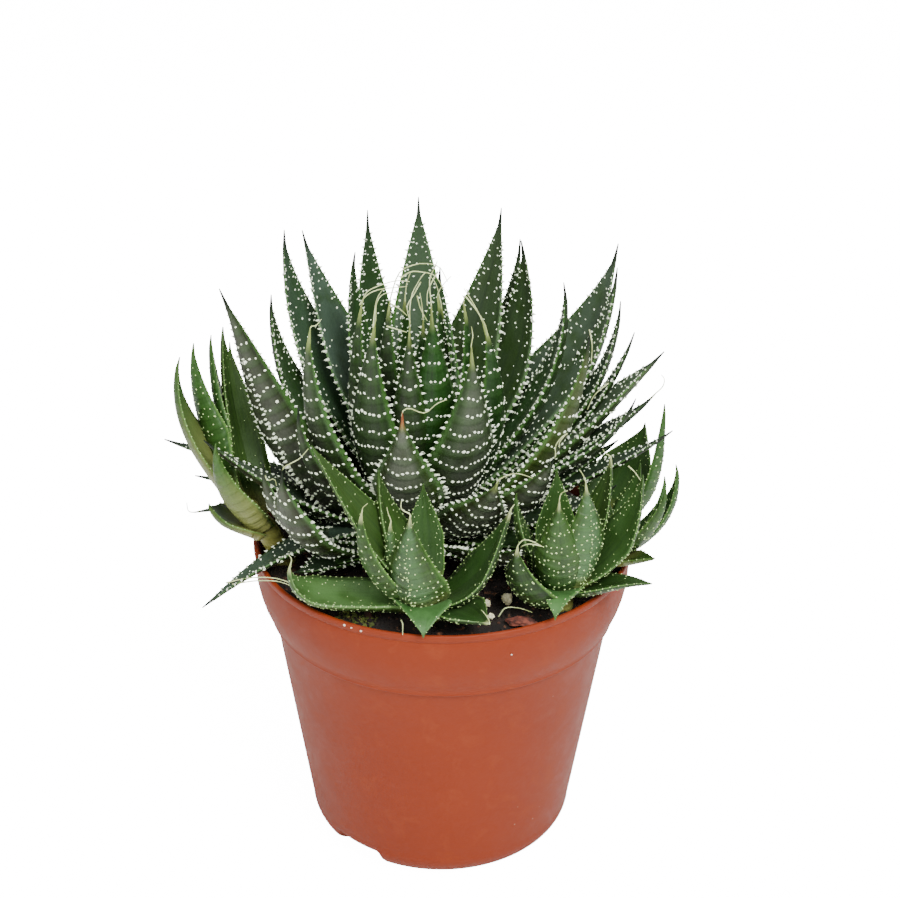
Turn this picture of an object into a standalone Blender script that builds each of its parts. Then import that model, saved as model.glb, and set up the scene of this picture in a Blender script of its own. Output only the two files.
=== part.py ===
"""A potted lace aloe: a nursery pot, soil, one large rosette and five young offset rosettes.

Metres, +Z up. The origin is the middle of the pot's underside, and -Y faces the viewer.
Leaves are listed in millimetres and degrees, about their own rosette's stem at the soil line.
"""

import math
import random
from collections import namedtuple

import bmesh
import bpy
from mathutils import Matrix, Quaternion, Vector

MM = 0.001
GAP = 0.3 * MM

# Pot: a 12 cm nursery pot with a collar
POT_HEIGHT = 104 * MM
RIM_RADIUS = 60 * MM
COLLAR_HEIGHT = 24.2 * MM
# The collar's outer curve below the rim: radius and height in millimetres
COLLAR_CURVE = ((59.2, 92.5), (57.6, 86), (54.9, 80))
WALL_TOP_RADIUS = 54 * MM
FOOT_RADIUS = 41.6 * MM
CORNER_RADIUS = 9 * MM
WALL = 1.4 * MM
POT_SEGMENTS = 40
NOTCH_ANGLES = (229, 49)
NOTCH_WIDTH = 19 * MM
NOTCH_HEIGHT = 6 * MM
NOTCH_DEPTH = 9 * MM

# Soil
SOIL_TOP = 99.5 * MM
SOIL_RELIEF = 0.7 * MM
SOIL_RINGS = 6
SOIL_SEGMENTS = 30
MAIN_STEM_DEPTH = 12 * MM
OFFSET_STEM_DEPTH = 4 * MM
STEM_SEGMENTS = 10
HOLE_SEGMENTS = 12
HOLE_ROOM = 0.4 * MM
LEAN_START = 1 * MM

# Leaves
TOOTH = 0.09
BAND = 0.35
CUP = 0.24
NARROW_END = 0.94
NARROW_POWER = 1.15
AWN_START = 0.94
ROOT_OUT = 0.7
HANDLE = 0.32
HANDLE_TURN = 0.12
EDGE_HALF = 0.35
TIP_THICKNESS = 0.6
ROOT_THICKNESS = 0.24
THINNING = 0.8

Leaf = namedtuple("Leaf", "azimuth reach height rise tip_rise width twist full spans", defaults=(0, 0.52, 5))
Rosette = namedtuple("Rosette", "name x y stem_radius stem_height stem_depth leaves lean", defaults=((0, 0),))

# Azimuth 0 is +X and 90 is the far side. Reach and height place the tip, rise and tip_rise
# are the leaf's angles above the horizontal at its root and at its tip, and twist turns the
# blade about its own length, the back towards +Y on the right side of the plant. Full is the
# share of the length at which the blade begins to narrow.
TALL_LEAVES = (
    Leaf(92, 38, 103, 72, 78, 19),
    Leaf(78, 27, 84, 64, 84, 17),
    Leaf(117, 38, 100, 46, 92, 16),
    Leaf(138, 51, 93, 54, 72, 18),
    Leaf(146, 52, 95, 48, 92, 19),
    Leaf(142, 26, 93, 60, 100, 13),
    Leaf(54, 42, 101, 60, 84, 20),
    Leaf(38, 39, 94, 48, 104, 19, 10),
    Leaf(49, 47, 90, 45, 88, 12),
    Leaf(10, 44, 87, 44, 98, 17, -5),
    Leaf(24, 67, 92, 38, 80, 24, 10, 0.55),
    Leaf(14, 62, 89, 32, 86, 17),
    Leaf(162, 49, 79, 32, 92, 17),
    Leaf(-161, 62, 96, 18, 70, 20, 45, 0.38),
)
RIGHT_LEAVES = (
    Leaf(5, 61, 82, 30, 88, 13),
    Leaf(0, 65, 74, 28, 74, 11),
    Leaf(-4, 74, 70, 26, 50, 22, 0, 0.6),
    Leaf(-8, 72, 58, 33, 50, 17),
    Leaf(-15, 67, 60, 38, 70, 14),
    Leaf(-8, 78, 46, 23, 42, 12),
    Leaf(-12, 62, 28, 8, 44, 14),
    Leaf(-26, 55, 84, 28, 86, 18),
)
FRONT_LEAVES = (
    Leaf(-129, 21, 85, 44, 104, 19),
    Leaf(-156, 19, 87, 50, 100, 16),
    Leaf(-139, 12, 88, 60, 98, 14),
    Leaf(-76, 13, 88, 50, 102, 18),
    Leaf(-100, 18, 84, 50, 100, 13),
    Leaf(-9, 13, 84, 60, 96, 13),
    Leaf(-29, 21, 82, 44, 110, 19),
    Leaf(-60, 30, 81, 40, 97, 22),
    Leaf(-98, 36, 64, 36, 94, 21),
    Leaf(-151, 37, 83, 34, 98, 19),
    Leaf(-61, 48, 45, 22, 66, 18, -25, 0.6),
    Leaf(-42, 54, 50, 18, 66, 18, -25, 0.6),
    Leaf(-58, 58, 27, 6, 50, 15, -25, 0.6),
)
LEFT_LEAVES = (
    Leaf(-149, 77, -1, 17, -28, 12, 10, 0.45),
    Leaf(-137, 55, 46, 2, 98, 19, 0, 0.74),
    Leaf(-150, 54, 42, 4, 92, 17, 0, 0.72),
    Leaf(-145, 44, 60, 30, 92, 15),
    Leaf(-139, 51, 8, 5, 16, 16),
    Leaf(-160, 69, 48, 14, 46, 14),
    Leaf(177, 81, 34, 16, 18, 12),
    Leaf(168, 75, 15, 14, 4, 11),
    Leaf(173, 74, 5, 24, -16, 11),
    Leaf(168, 60, 74, 24, 78, 12),
)
# Where the leaves behind the tall ones stand, and the spread old ones below
SECOND_ROW = (46, 70, 96, 124)
BACK_ROW = (14, 38, 62, 86, 110, 134)
LOW_ROW = (50, 90, 130)
OLD_ROW = (-172, -128, -108, -60, -36, -16, 6)
SEED = 12
SHOWN_SPANS = 6
HIDDEN_SPANS = 4
HEART_COUNT = 4
HEART_TURN = 137.5

OFFSETS = (
    Rosette("offset_front", -5, -42, 4.5, 7, OFFSET_STEM_DEPTH, (
        Leaf(-177, 33, 59, 58, 62, 19, -25, 0.25),
        Leaf(157, 15, 47, 60, 88, 20, 0, 0.25),
        Leaf(95, 9, 41, 62, 96, 11),
        Leaf(-156, 20, 41, 34, 98, 15),
        Leaf(-140, 13, 38, 42, 96, 12),
        Leaf(-108, 14, 43, 36, 100, 19, 0, 0.4),
        Leaf(-18, 26, 42, 24, 72, 17, 30, 0.35),
        Leaf(-91, 21, 6, 29, -46, 19, 0, 0.3),
        Leaf(181, 40, 19, 11, 100, 16, 0, 0.6),
        Leaf(-43, 26, 9, 14, 4, 15, 0, 0.6),
    )),
    Rosette("offset_front_right", 36, -34, 4, 7, OFFSET_STEM_DEPTH, (
        Leaf(-56, 10, 47, 44, 102, 16),
        Leaf(-100, 12, 43, 40, 98, 15),
        Leaf(0, 23, 45, 34, 88, 15, 25),
        Leaf(-97, 22, 8, 30, -36, 14, 0, 0.3),
        Leaf(-25, 29, 15, 16, 6, 10, 0, 0.45),
        Leaf(-134, 20, 29, 8, 100, 17),
        Leaf(176, 14, 38, 47, 92, 11),
        Leaf(29, 16, 47, 56, 90, 12),
        Leaf(110, 6, 44, 50, 92, 12),
    )),
    Rosette("offset_left", -50, -8, 4, 19, OFFSET_STEM_DEPTH, (
        Leaf(180, 20.5, 71, 56, 104, 14),
        Leaf(155, 19, 72, 60, 96, 15, 60),
        Leaf(136, 17, 73, 62, 94, 13, 50),
        Leaf(123, 16, 75, 64, 96, 13, 40),
        Leaf(115, 17, 69, 64, 94, 12),
        Leaf(-165, 14, 23, 34, 76, 13, 0, 0.65),
        Leaf(-130, 15, 48, 50, 96, 14, 0, 0.35),
    ), (-8.5, -2)),
    Rosette("offset_right", 49, -14, 3.5, 6, OFFSET_STEM_DEPTH, (
        Leaf(0, 22, 38, 26, 100, 11),
        Leaf(-18, 19, 37, 34, 92, 11),
        Leaf(-30, 21, 35, 34, 86, 11),
        Leaf(-45, 22, 14, 14, 24, 9),
        Leaf(40, 16, 33, 40, 88, 9),
        Leaf(-80, 9, 30, 56, 90, 8),
    )),
    Rosette("offset_back_right", 50, 8, 3.5, 6, OFFSET_STEM_DEPTH, (
        Leaf(-14, 19, 50, 24, 88, 12),
        Leaf(40, 19, 35, 40, 88, 15),
        Leaf(110, 10, 28, 55, 84, 9),
        Leaf(-24, 17, 27, 34, 76, 9),
        Leaf(20, 22, 26, 24, 60, 8),
    )),
)

# Loose pieces on the soil: name, x, y, half sizes
GRAINS = (
    ("perlite_grain_1", 20, -34.5, (2.1, 1.9, 2.0)),
    ("perlite_grain_2", 13.6, -36, (1.5, 1.3, 1.4)),
    ("perlite_grain_3", 14.8, -43.5, (1.1, 1.0, 1.1)),
    ("perlite_grain_4", -26, -50, (1.3, 1.1, 1.0)),
    ("perlite_grain_5", 22, 45, (1.5, 1.3, 1.2)),
)
BARK = ("bark_chip", 24, -46.5, (4.0, 2.2, 1.1))


def new_material(name, colour, roughness):
    material = bpy.data.materials.new(name)
    material.use_nodes = True
    shader = material.node_tree.nodes["Principled BSDF"]
    shader.inputs["Base Color"].default_value = (*colour, 1)
    shader.inputs["Roughness"].default_value = roughness
    shader.inputs["Metallic"].default_value = 0
    return material


def new_object(name, mesh, material, collection):
    obj = bpy.data.objects.new(name, mesh)
    mesh.materials.append(material)
    collection.objects.link(obj)
    return obj


def mesh_from(name, points, faces):
    mesh = bpy.data.meshes.new(name)
    mesh.from_pydata(points, [], faces)
    mesh.validate()
    return mesh


def turned(name, profile, segments, material, collection):
    """A closed solid from a profile of (radius, height), run down its outer side."""
    points = [(radius, 0, height) for radius, height in profile]
    closed_loop = profile[0][0] > 0
    edges = [(i, i + 1) for i in range(len(points) - 1)]
    if closed_loop:
        edges.append((len(points) - 1, 0))
    mesh = bpy.data.meshes.new(name)
    mesh.from_pydata(points, edges, [])
    obj = new_object(name, mesh, material, collection)
    screw = obj.modifiers.new("Turn", "SCREW")
    screw.axis = "Z"
    screw.angle = math.tau
    screw.steps = segments
    screw.render_steps = segments
    screw.use_merge_vertices = True
    screw.merge_threshold = 0.01 * MM
    return obj


def evaluated_mesh(obj):
    graph = bpy.context.evaluated_depsgraph_get()
    return bpy.data.meshes.new_from_object(obj.evaluated_get(graph))


def boolean(obj, operand, operation, solver):
    """Applies one Boolean with an object or a collection, then removes the operands."""
    modifier = obj.modifiers.new(operation.title(), "BOOLEAN")
    modifier.operation = operation
    modifier.solver = solver
    if isinstance(operand, bpy.types.Collection):
        modifier.operand_type = "COLLECTION"
        modifier.collection = operand
        used = list(operand.objects)
    else:
        modifier.object = operand
        used = [operand]
    bpy.context.view_layer.update()
    mesh = evaluated_mesh(obj)
    obj.modifiers.clear()
    obj.data = mesh
    for other in used:
        bpy.data.objects.remove(other)


def wall_radius(height):
    """The outer radius of the pot's body at a height."""
    top = POT_HEIGHT - COLLAR_HEIGHT
    slope = (WALL_TOP_RADIUS - FOOT_RADIUS) / top
    return FOOT_RADIUS + slope * height


def inner_radius(height):
    """The inner radius of the pot at a height."""
    collar_foot = POT_HEIGHT - COLLAR_HEIGHT
    if height <= collar_foot:
        return wall_radius(height) - WALL
    inside_foot = wall_radius(collar_foot) - WALL
    share = (height - collar_foot) / COLLAR_HEIGHT
    return inside_foot + (RIM_RADIUS - 1.6 * MM - inside_foot) * share


def make_pot(collection, cutters):
    material = new_material("terracotta_coloured_plastic", (0.45, 0.107, 0.052), 0.42)
    collar_foot = POT_HEIGHT - COLLAR_HEIGHT
    outside = [
        (RIM_RADIUS - 0.5 * MM, POT_HEIGHT),
        (RIM_RADIUS, POT_HEIGHT - 0.6 * MM),
        (RIM_RADIUS - 0.3 * MM, POT_HEIGHT - 2.5 * MM),
        *((radius * MM, height * MM) for radius, height in COLLAR_CURVE),
        (wall_radius(collar_foot), collar_foot),
        (wall_radius(CORNER_RADIUS), CORNER_RADIUS),
    ]
    corner_centre = wall_radius(CORNER_RADIUS) - CORNER_RADIUS
    corner_steps = 4
    for i in range(1, corner_steps + 1):
        angle = math.radians(90 * i / corner_steps)
        outside.append((corner_centre + CORNER_RADIUS * math.cos(angle),
                        CORNER_RADIUS - CORNER_RADIUS * math.sin(angle)))
    inside = [
        (corner_centre, WALL),
        (inner_radius(CORNER_RADIUS), CORNER_RADIUS),
        (inner_radius(collar_foot), collar_foot),
        (inner_radius(POT_HEIGHT), POT_HEIGHT),
    ]
    pot = turned("pot", outside + [(0, 0), (0, WALL)] + inside, POT_SEGMENTS, material, collection)
    mesh = evaluated_mesh(pot)
    pot.modifiers.clear()
    pot.data = mesh
    for angle in NOTCH_ANGLES:
        make_notch(pot, angle, cutters)
    pot.data.shade_smooth()
    pot.data.set_sharp_from_angle(angle=math.radians(30))


def make_notch(pot, angle, cutters):
    """A drainage notch: a low slot through the lower edge of the pot."""
    turn = math.radians(angle)
    bottom = -2 * MM
    bpy.ops.mesh.primitive_cube_add(size=1)
    cutter = bpy.context.object
    cutter.name = "notch_cutter"
    cutter.display_type = "WIRE"
    cutter.hide_render = True
    move_to(cutter, cutters)
    middle = wall_radius(0) - CORNER_RADIUS / 2
    cutter.location = (middle * math.cos(turn), middle * math.sin(turn), (bottom + NOTCH_HEIGHT) / 2)
    cutter.rotation_euler.z = turn
    cutter.scale = (NOTCH_DEPTH, NOTCH_WIDTH, NOTCH_HEIGHT - bottom)
    boolean(pot, cutter, "DIFFERENCE", "EXACT")


def move_to(obj, collection):
    for old in list(obj.users_collection):
        old.objects.unlink(obj)
    collection.objects.link(obj)


def soil_height(x, y):
    """The soil's uneven top, pressed by hand and washed by watering."""
    waves = math.sin(x / (7 * MM) + 1) * math.cos(y / (9 * MM)) + 0.6 * math.sin((x - y) / (4.5 * MM))
    return SOIL_TOP + SOIL_RELIEF * waves / 1.6


def make_soil(collection, cutters, stems):
    material = new_material("dark_peat", (0.02, 0.013, 0.008), 0.95)
    floor = WALL + GAP
    collar_foot = POT_HEIGHT - COLLAR_HEIGHT
    corner_centre = wall_radius(CORNER_RADIUS) - CORNER_RADIUS
    edge = inner_radius(SOIL_TOP) - 2 * GAP
    rings = [(edge * i / SOIL_RINGS, SOIL_TOP) for i in range(SOIL_RINGS + 1)]
    side = [
        (inner_radius(collar_foot) - 2 * GAP, collar_foot),
        (inner_radius(CORNER_RADIUS) - 2 * GAP, CORNER_RADIUS),
        (corner_centre - GAP, floor),
        (0, floor),
    ]
    soil = turned("soil", rings + side, SOIL_SEGMENTS, material, collection)
    mesh = evaluated_mesh(soil)
    soil.modifiers.clear()
    soil.data = mesh
    for vert in mesh.vertices:
        if vert.co.z > SOIL_TOP - GAP:
            vert.co.z = soil_height(vert.co.x, vert.co.y)
    for rosette in stems:
        bpy.ops.mesh.primitive_cylinder_add(
            vertices=HOLE_SEGMENTS, radius=rosette.stem_radius * MM + HOLE_ROOM,
            depth=2 * (rosette.stem_depth + GAP),
            location=(rosette.x * MM, rosette.y * MM, SOIL_TOP))
        cutter = bpy.context.object
        cutter.name = "stem_hole_cutter"
        cutter.hide_render = True
        cutter.display_type = "WIRE"
        move_to(cutter, cutters)
        boolean(soil, cutter, "DIFFERENCE", "EXACT")


def direction(azimuth, rise):
    turn, lift = math.radians(azimuth), math.radians(rise)
    return Vector((math.cos(turn) * math.cos(lift), math.sin(turn) * math.cos(lift), math.sin(lift)))


def leaf_line(rosette, leaf):
    """The four control points of a leaf's middle line, in millimetres above the soil."""
    foot = Vector((rosette.x, rosette.y, 0))
    lean = Vector((*rosette.lean, 0))
    out = direction(leaf.azimuth, 0)
    height = 5 + (rosette.stem_height - 3) * leaf.rise / 90
    root = foot + lean * height / rosette.stem_height + Vector((0, 0, height))
    root += out * rosette.stem_radius * ROOT_OUT * (1 - leaf.rise / 110)
    tip = foot + lean + out * leaf.reach + Vector((0, 0, leaf.height))
    handle = (tip - root).length * (HANDLE + HANDLE_TURN * abs(leaf.tip_rise - leaf.rise) / 90)
    return (root, root + direction(leaf.azimuth, leaf.rise) * handle,
            tip - direction(leaf.azimuth, leaf.tip_rise) * handle, tip)


def on_line(line, t):
    """Point and tangent of a cubic curve."""
    a, b, c, d = line
    s = 1 - t
    point = a * s**3 + b * 3 * s * s * t + c * 3 * s * t * t + d * t**3
    tangent = (b - a) * s * s + (c - b) * 2 * s * t + (d - c) * t * t
    return point, tangent.normalized()


def blade_width(t, full):
    """Share of the full width: a clasping base, a full middle and a long drawn-out point."""
    base = 0.72 + 0.28 * min(t / 0.22, 1)
    fall = min(max((t - full) / (NARROW_END - full), 0), 1)
    return base * (1 - fall ** NARROW_POWER) + 0.03


def leaf_solid(rosette, leaf):
    """Points and faces of one leaf: a flat inner face, a keeled back with raised bands,
    and a tooth on each margin between every two sections."""
    line = leaf_line(rosette, leaf)
    flat_side = direction(leaf.azimuth, 0).cross(Vector((0, 0, 1)))
    places = [0.0, 0.2] + [0.2 + (AWN_START - 0.2) * (i / (leaf.spans - 1)) ** 0.92
                          for i in range(1, leaf.spans)]
    points, faces = [], []

    def across(t):
        point, tangent = on_line(line, t)
        turned_side = Quaternion(tangent, math.radians(leaf.twist) * min(2 * t, 1)) @ flat_side
        up = turned_side.cross(tangent).normalized()
        return point, tangent.cross(up), up

    def half_width(t):
        return leaf.width / 2 * blade_width(t, leaf.full) + EDGE_HALF

    for i, t in enumerate(places):
        point, side_way, up = across(t)
        half = half_width(t)
        thick = TIP_THICKNESS + ROOT_THICKNESS * leaf.width * (1 - t) ** THINNING
        raised = BAND if i % 2 and 0.2 < t < 0.85 else 0
        cup = CUP * half
        for side, lift in ((-1, cup), (0, 0.25 * cup), (1, cup),
                           (0.62, -0.62 * thick - raised), (0, -thick - raised), (-0.62, -0.62 * thick - raised)):
            points.append(point + side_way * side * half + up * (lift + 0.1 * thick))
    teeth = {}
    for i in range(1, len(places) - 1):
        t = places[i] * 0.4 + places[i + 1] * 0.6
        point, side_way, up = across(t)
        half = half_width(t)
        out = half + TOOTH * leaf.width * (0.45 + 0.55 * blade_width(t, leaf.full))
        for side in (-1, 1):
            teeth[i, side] = len(points)
            points.append(point + side_way * side * out + up * (CUP * half))
    tip = len(points)
    points.append(line[3])
    for i in range(len(places) - 1):
        for k in range(6):
            a, b = 6 * i + k, 6 * i + (k + 1) % 6
            c, d = b + 6, a + 6
            tooth = teeth.get((i, -1 if k in (0, 5) else 1)) if k in (0, 1, 2, 5) else None
            if tooth is None:
                faces += [(a, b, c), (a, c, d)]
            elif k in (0, 2):
                faces += [(a, b, tooth), (b, c, tooth), (c, d, tooth)]
            else:
                faces += [(a, b, tooth), (a, tooth, d), (d, tooth, c)]
    last = 6 * (len(places) - 1)
    faces += [(last + k, last + (k + 1) % 6, tip) for k in range(6)]
    faces.append((5, 4, 3, 2, 1, 0))
    lift = Vector((0, 0, SOIL_TOP))
    return [p * MM + lift for p in points], faces


def make_stem(rosette, material, collection):
    """A short round stem from its soil hole up into the leaf roots."""
    radius = rosette.stem_radius * MM
    shoulder = rosette.stem_height * 0.7 * MM
    top = (rosette.stem_height + 3) * MM
    side = [(radius, shoulder), (radius, LEAN_START), (radius, -rosette.stem_depth)]
    if not any(rosette.lean):
        del side[1]
    profile = [(0, top), (radius * 0.5, top), *side, (0, -rosette.stem_depth)]
    stem = turned(rosette.name, profile, STEM_SEGMENTS, material, collection)
    mesh = evaluated_mesh(stem)
    stem.modifiers.clear()
    for vert in mesh.vertices:
        share = max(vert.co.z - LEAN_START, 0) / (rosette.stem_height * MM - LEAN_START)
        vert.co.x += rosette.lean[0] * MM * share
        vert.co.y += rosette.lean[1] * MM * share
    mesh.transform(Matrix.Translation((rosette.x * MM, rosette.y * MM, SOIL_TOP)))
    stem.data = mesh
    return stem


def main_rosette():
    rng = random.Random(SEED)

    def row(azimuths, reach, height, rise, tip_rise, width):
        return [Leaf(azimuth + rng.uniform(-4, 4), reach + rng.uniform(-3, 3), height + rng.uniform(-3, 3),
                     rise, tip_rise, width, spans=HIDDEN_SPANS) for azimuth in azimuths]

    hidden = (row(SECOND_ROW, 50, 64, 44, 70, 14) + row(BACK_ROW, 63, 47, 26, 58, 14)
              + row(LOW_ROW, 72, 22, 12, 30, 13) + row(OLD_ROW, 44, 12, 10, 8, 15))
    heart = [Leaf(HEART_TURN * i, 5 + 1.6 * i, 86 - 2 * i, 74, 92 + 2 * i, 11 + 0.5 * i)
             for i in range(HEART_COUNT)]
    shown = [leaf._replace(spans=SHOWN_SPANS)
             for leaf in (*TALL_LEAVES, *RIGHT_LEAVES, *FRONT_LEAVES, *LEFT_LEAVES)]
    return Rosette("main_rosette", -7, 4, 9, 14, MAIN_STEM_DEPTH, (*shown, *hidden, *heart))


def keep_largest(mesh):
    """Drops the loose scraps and the sealed hollows that a union leaves."""
    work = bmesh.new()
    work.from_mesh(mesh)
    unseen = set(work.verts)
    islands = []
    while unseen:
        island, edge = set(), [unseen.pop()]
        while edge:
            vert = edge.pop()
            island.add(vert)
            for link in vert.link_edges:
                other = link.other_vert(vert)
                if other in unseen:
                    unseen.discard(other)
                    edge.append(other)
        islands.append(island)
    islands.sort(key=len, reverse=True)
    for island in islands[1:]:
        bmesh.ops.delete(work, geom=list(island), context="VERTS")
    work.to_mesh(mesh)
    work.free()


def make_rosette(rosette, body, material):
    """Fuses the stem and all leaves into one solid."""
    used = bpy.data.collections.new(rosette.name + "_leaves")
    bpy.context.scene.collection.children.link(used)
    for number, leaf in enumerate(rosette.leaves):
        mesh = mesh_from(f"{rosette.name}_leaf_{number}", *leaf_solid(rosette, leaf))
        new_object(mesh.name, mesh, material, used)
    boolean(body, used, "UNION", "MANIFOLD")
    bpy.data.collections.remove(used)
    keep_largest(body.data)


def make_grain(name, x, y, half, material, collection):
    """A small irregular crumb that lies on the soil."""
    bpy.ops.mesh.primitive_ico_sphere_add(subdivisions=1, radius=1)
    grain = bpy.context.object
    grain.name = name
    move_to(grain, collection)
    rng = random.Random(name)
    grain.data.materials.append(material)
    high = max(soil_height((x + dx) * MM, (y + dy) * MM) for dx in (-1, 0, 1) for dy in (-1, 0, 1))
    for vert in grain.data.vertices:
        swell = rng.uniform(0.82, 1.0)
        vert.co = Vector([c * h * MM * swell for c, h in zip(vert.co, half)])
    low = min(vert.co.z for vert in grain.data.vertices)
    grain.location = (x * MM, y * MM, high + GAP - low)


def make_bark(collection):
    name, x, y, half = BARK
    material = new_material("pine_bark", (0.16, 0.06, 0.035), 0.85)
    bpy.ops.mesh.primitive_cube_add(size=2)
    chip = bpy.context.object
    chip.name = name
    move_to(chip, collection)
    chip.data.materials.append(material)
    for vert in chip.data.vertices:
        vert.co = Vector([c * h * MM for c, h in zip(vert.co, half)])
        if vert.co.x > 0:
            vert.co.y *= 0.6
    corners = [soil_height((x + dx) * MM, (y + dy) * MM)
               for dx in (-half[0], 0, half[0]) for dy in (-half[1], 0, half[1])]
    chip.location = (x * MM, y * MM, max(corners) + GAP + half[2] * MM)
    bevel = chip.modifiers.new("Worn edges", "BEVEL")
    bevel.width = 0.5 * MM
    bevel.segments = 1


def main():
    for obj in list(bpy.data.objects):
        bpy.data.objects.remove(obj)
    parts = bpy.data.collections.new("potted_lace_aloe")
    cutters = bpy.data.collections.new("cutters")
    bpy.context.scene.collection.children.link(parts)
    bpy.context.scene.collection.children.link(cutters)
    rosettes = [main_rosette(), *OFFSETS]
    make_pot(parts, cutters)
    make_soil(parts, cutters, rosettes)
    dark = new_material("dark_leaf", (0.035, 0.075, 0.03), 0.5)
    fresh = new_material("young_leaf", (0.11, 0.22, 0.06), 0.45)
    for rosette, material in zip(rosettes, (dark, *[fresh] * len(OFFSETS))):
        make_rosette(rosette, make_stem(rosette, material, parts), material)
    perlite = new_material("perlite", (0.6, 0.57, 0.4), 0.9)
    for name, x, y, half in GRAINS:
        make_grain(name, x, y, half, perlite, parts)
    make_bark(parts)
    bpy.data.collections.remove(cutters)


main()
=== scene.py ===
import math
import random
from collections import namedtuple

import bpy
import numpy as np
from mathutils import Matrix, Vector, noise


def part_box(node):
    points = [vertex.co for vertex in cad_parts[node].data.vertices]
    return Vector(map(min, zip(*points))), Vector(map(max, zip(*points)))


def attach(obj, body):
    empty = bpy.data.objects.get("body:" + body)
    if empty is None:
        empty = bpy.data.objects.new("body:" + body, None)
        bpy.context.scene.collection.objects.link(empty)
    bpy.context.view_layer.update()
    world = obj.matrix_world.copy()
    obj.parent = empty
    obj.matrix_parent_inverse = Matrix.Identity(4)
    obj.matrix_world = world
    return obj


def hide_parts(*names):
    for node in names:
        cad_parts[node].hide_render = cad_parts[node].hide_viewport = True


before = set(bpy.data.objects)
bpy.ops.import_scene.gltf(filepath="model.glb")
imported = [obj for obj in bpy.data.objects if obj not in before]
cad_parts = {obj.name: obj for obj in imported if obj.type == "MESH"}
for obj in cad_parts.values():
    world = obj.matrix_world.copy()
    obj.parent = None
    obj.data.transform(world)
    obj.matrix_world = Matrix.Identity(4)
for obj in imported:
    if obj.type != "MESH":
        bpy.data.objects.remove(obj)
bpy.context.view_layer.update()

mm = 0.001
up = np.array((0.0, 0.0, 1.0))


# Helpers for colours, nodes and meshes

def hexColour(text):
    channels = [int(text[i:i + 2], 16) / 255 for i in (1, 3, 5)]  # sRGB to linear
    return tuple(c / 12.92 if c <= 0.04045 else ((c + 0.055) / 1.055) ** 2.4 for c in channels) + (1.0,)


def patternScale(sizeMm):
    return 1 / (sizeMm * mm)


def firstOutput(node):
    return next(s for s in node.outputs if s.enabled)


def addNode(tree, kind, inputs=None, **settings):
    node = tree.nodes.new(kind)
    for key, value in settings.items():
        setattr(node, key, value)
    for key, value in (inputs or {}).items():
        if isinstance(key, int):
            socket = node.inputs[key]
        else:
            socket = next(s for s in node.inputs if s.enabled and s.name == key)
        if isinstance(value, bpy.types.Node):
            value = firstOutput(value)
        if isinstance(value, bpy.types.NodeSocket):
            tree.links.new(value, socket)
        else:
            socket.default_value = value
    return node


def newMaterial(name, **values):
    material = bpy.data.materials.new(name)
    material.use_nodes = True
    shader = material.node_tree.nodes["Principled BSDF"]
    for key, value in values.items():
        shader.inputs[key].default_value = value
    return material, material.node_tree, shader


def feed(tree, shader, **sources):
    for key, node in sources.items():
        tree.links.new(firstOutput(node), shader.inputs[key])


def layColours(tree, shader, base, layers):  # a layer's strength is the product of its shares
    skin = hexColour(base)
    for (strength, *shares), colour in layers:
        for share in shares:
            strength = addNode(tree, "ShaderNodeMath", {0: strength, 1: share}, operation="MULTIPLY")
        skin = addNode(tree, "ShaderNodeMix", {
            "Factor": strength, "A": skin, "B": hexColour(colour) if isinstance(colour, str) else colour},
            data_type="RGBA")
    tree.links.new(firstOutput(skin), shader.inputs["Base Color"])


def newPiece(name, points, faces, material, attributes=None):
    mesh = bpy.data.meshes.new(name)
    mesh.from_pydata(points, [], faces)
    for key, values in (attributes or {}).items():
        values = np.asarray(values, np.float32)
        mesh.attributes.new(key, "FLOAT", "POINT").data.foreach_set("value", values)
    mesh.shade_smooth()
    mesh.materials.append(material)
    return placed(name, mesh)


def placed(name, data):
    thing = bpy.data.objects.new(name, data)
    bpy.context.scene.collection.objects.link(thing)
    return thing


def pointHost(name, points, attributes, edges=()):
    mesh = bpy.data.meshes.new(name)
    mesh.from_pydata(points, edges, [])
    for key, values in attributes.items():
        values = np.asarray(values, np.float32)
        if values.ndim == 2:
            mesh.attributes.new(key, "FLOAT_VECTOR", "POINT").data.foreach_set("vector", values.ravel())
        else:
            mesh.attributes.new(key, "FLOAT", "POINT").data.foreach_set("value", values)
    return placed(name, mesh)


def plainMesh(host):  # the modifiers' result as a mesh of its own, and the modifiers gone
    graph = bpy.context.evaluated_depsgraph_get()
    mesh = bpy.data.meshes.new_from_object(host.evaluated_get(graph))
    host.modifiers.clear()
    host.data = mesh
    mesh.name = host.name
    return mesh


def newTree(name, sizes):
    tree = bpy.data.node_groups.new(name, "GeometryNodeTree")
    tree.interface.new_socket("Geometry", in_out="INPUT", socket_type="NodeSocketGeometry")
    tree.interface.new_socket("Geometry", in_out="OUTPUT", socket_type="NodeSocketGeometry")
    for label, value in sizes.items():
        kind = "NodeSocketInt" if isinstance(value, int) else "NodeSocketFloat"
        tree.interface.new_socket(label, in_out="INPUT", socket_type=kind).default_value = value
    tree.interface.new_socket("Material", in_out="INPUT", socket_type="NodeSocketMaterial")
    return tree, tree.nodes.new("NodeGroupInput").outputs


def endTree(tree, given, instances):
    plain = addNode(tree, "GeometryNodeRealizeInstances", {"Geometry": instances})
    soft = addNode(tree, "GeometryNodeSetShadeSmooth", {"Geometry": plain})
    painted = addNode(tree, "GeometryNodeSetMaterial", {"Geometry": soft, "Material": given["Material"]})
    tree.links.new(painted.outputs[0], tree.nodes.new("NodeGroupOutput").inputs[0])


def growPiece(host, tree, values):
    modifier = host.modifiers.new(tree.name, "NODES")
    modifier.node_group = tree
    for item in tree.interface.items_tree:
        if item.item_type == "SOCKET" and item.in_out == "INPUT" and item.name in values:
            modifier[item.identifier] = values[item.name]
    plainMesh(host)
    return host


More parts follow.
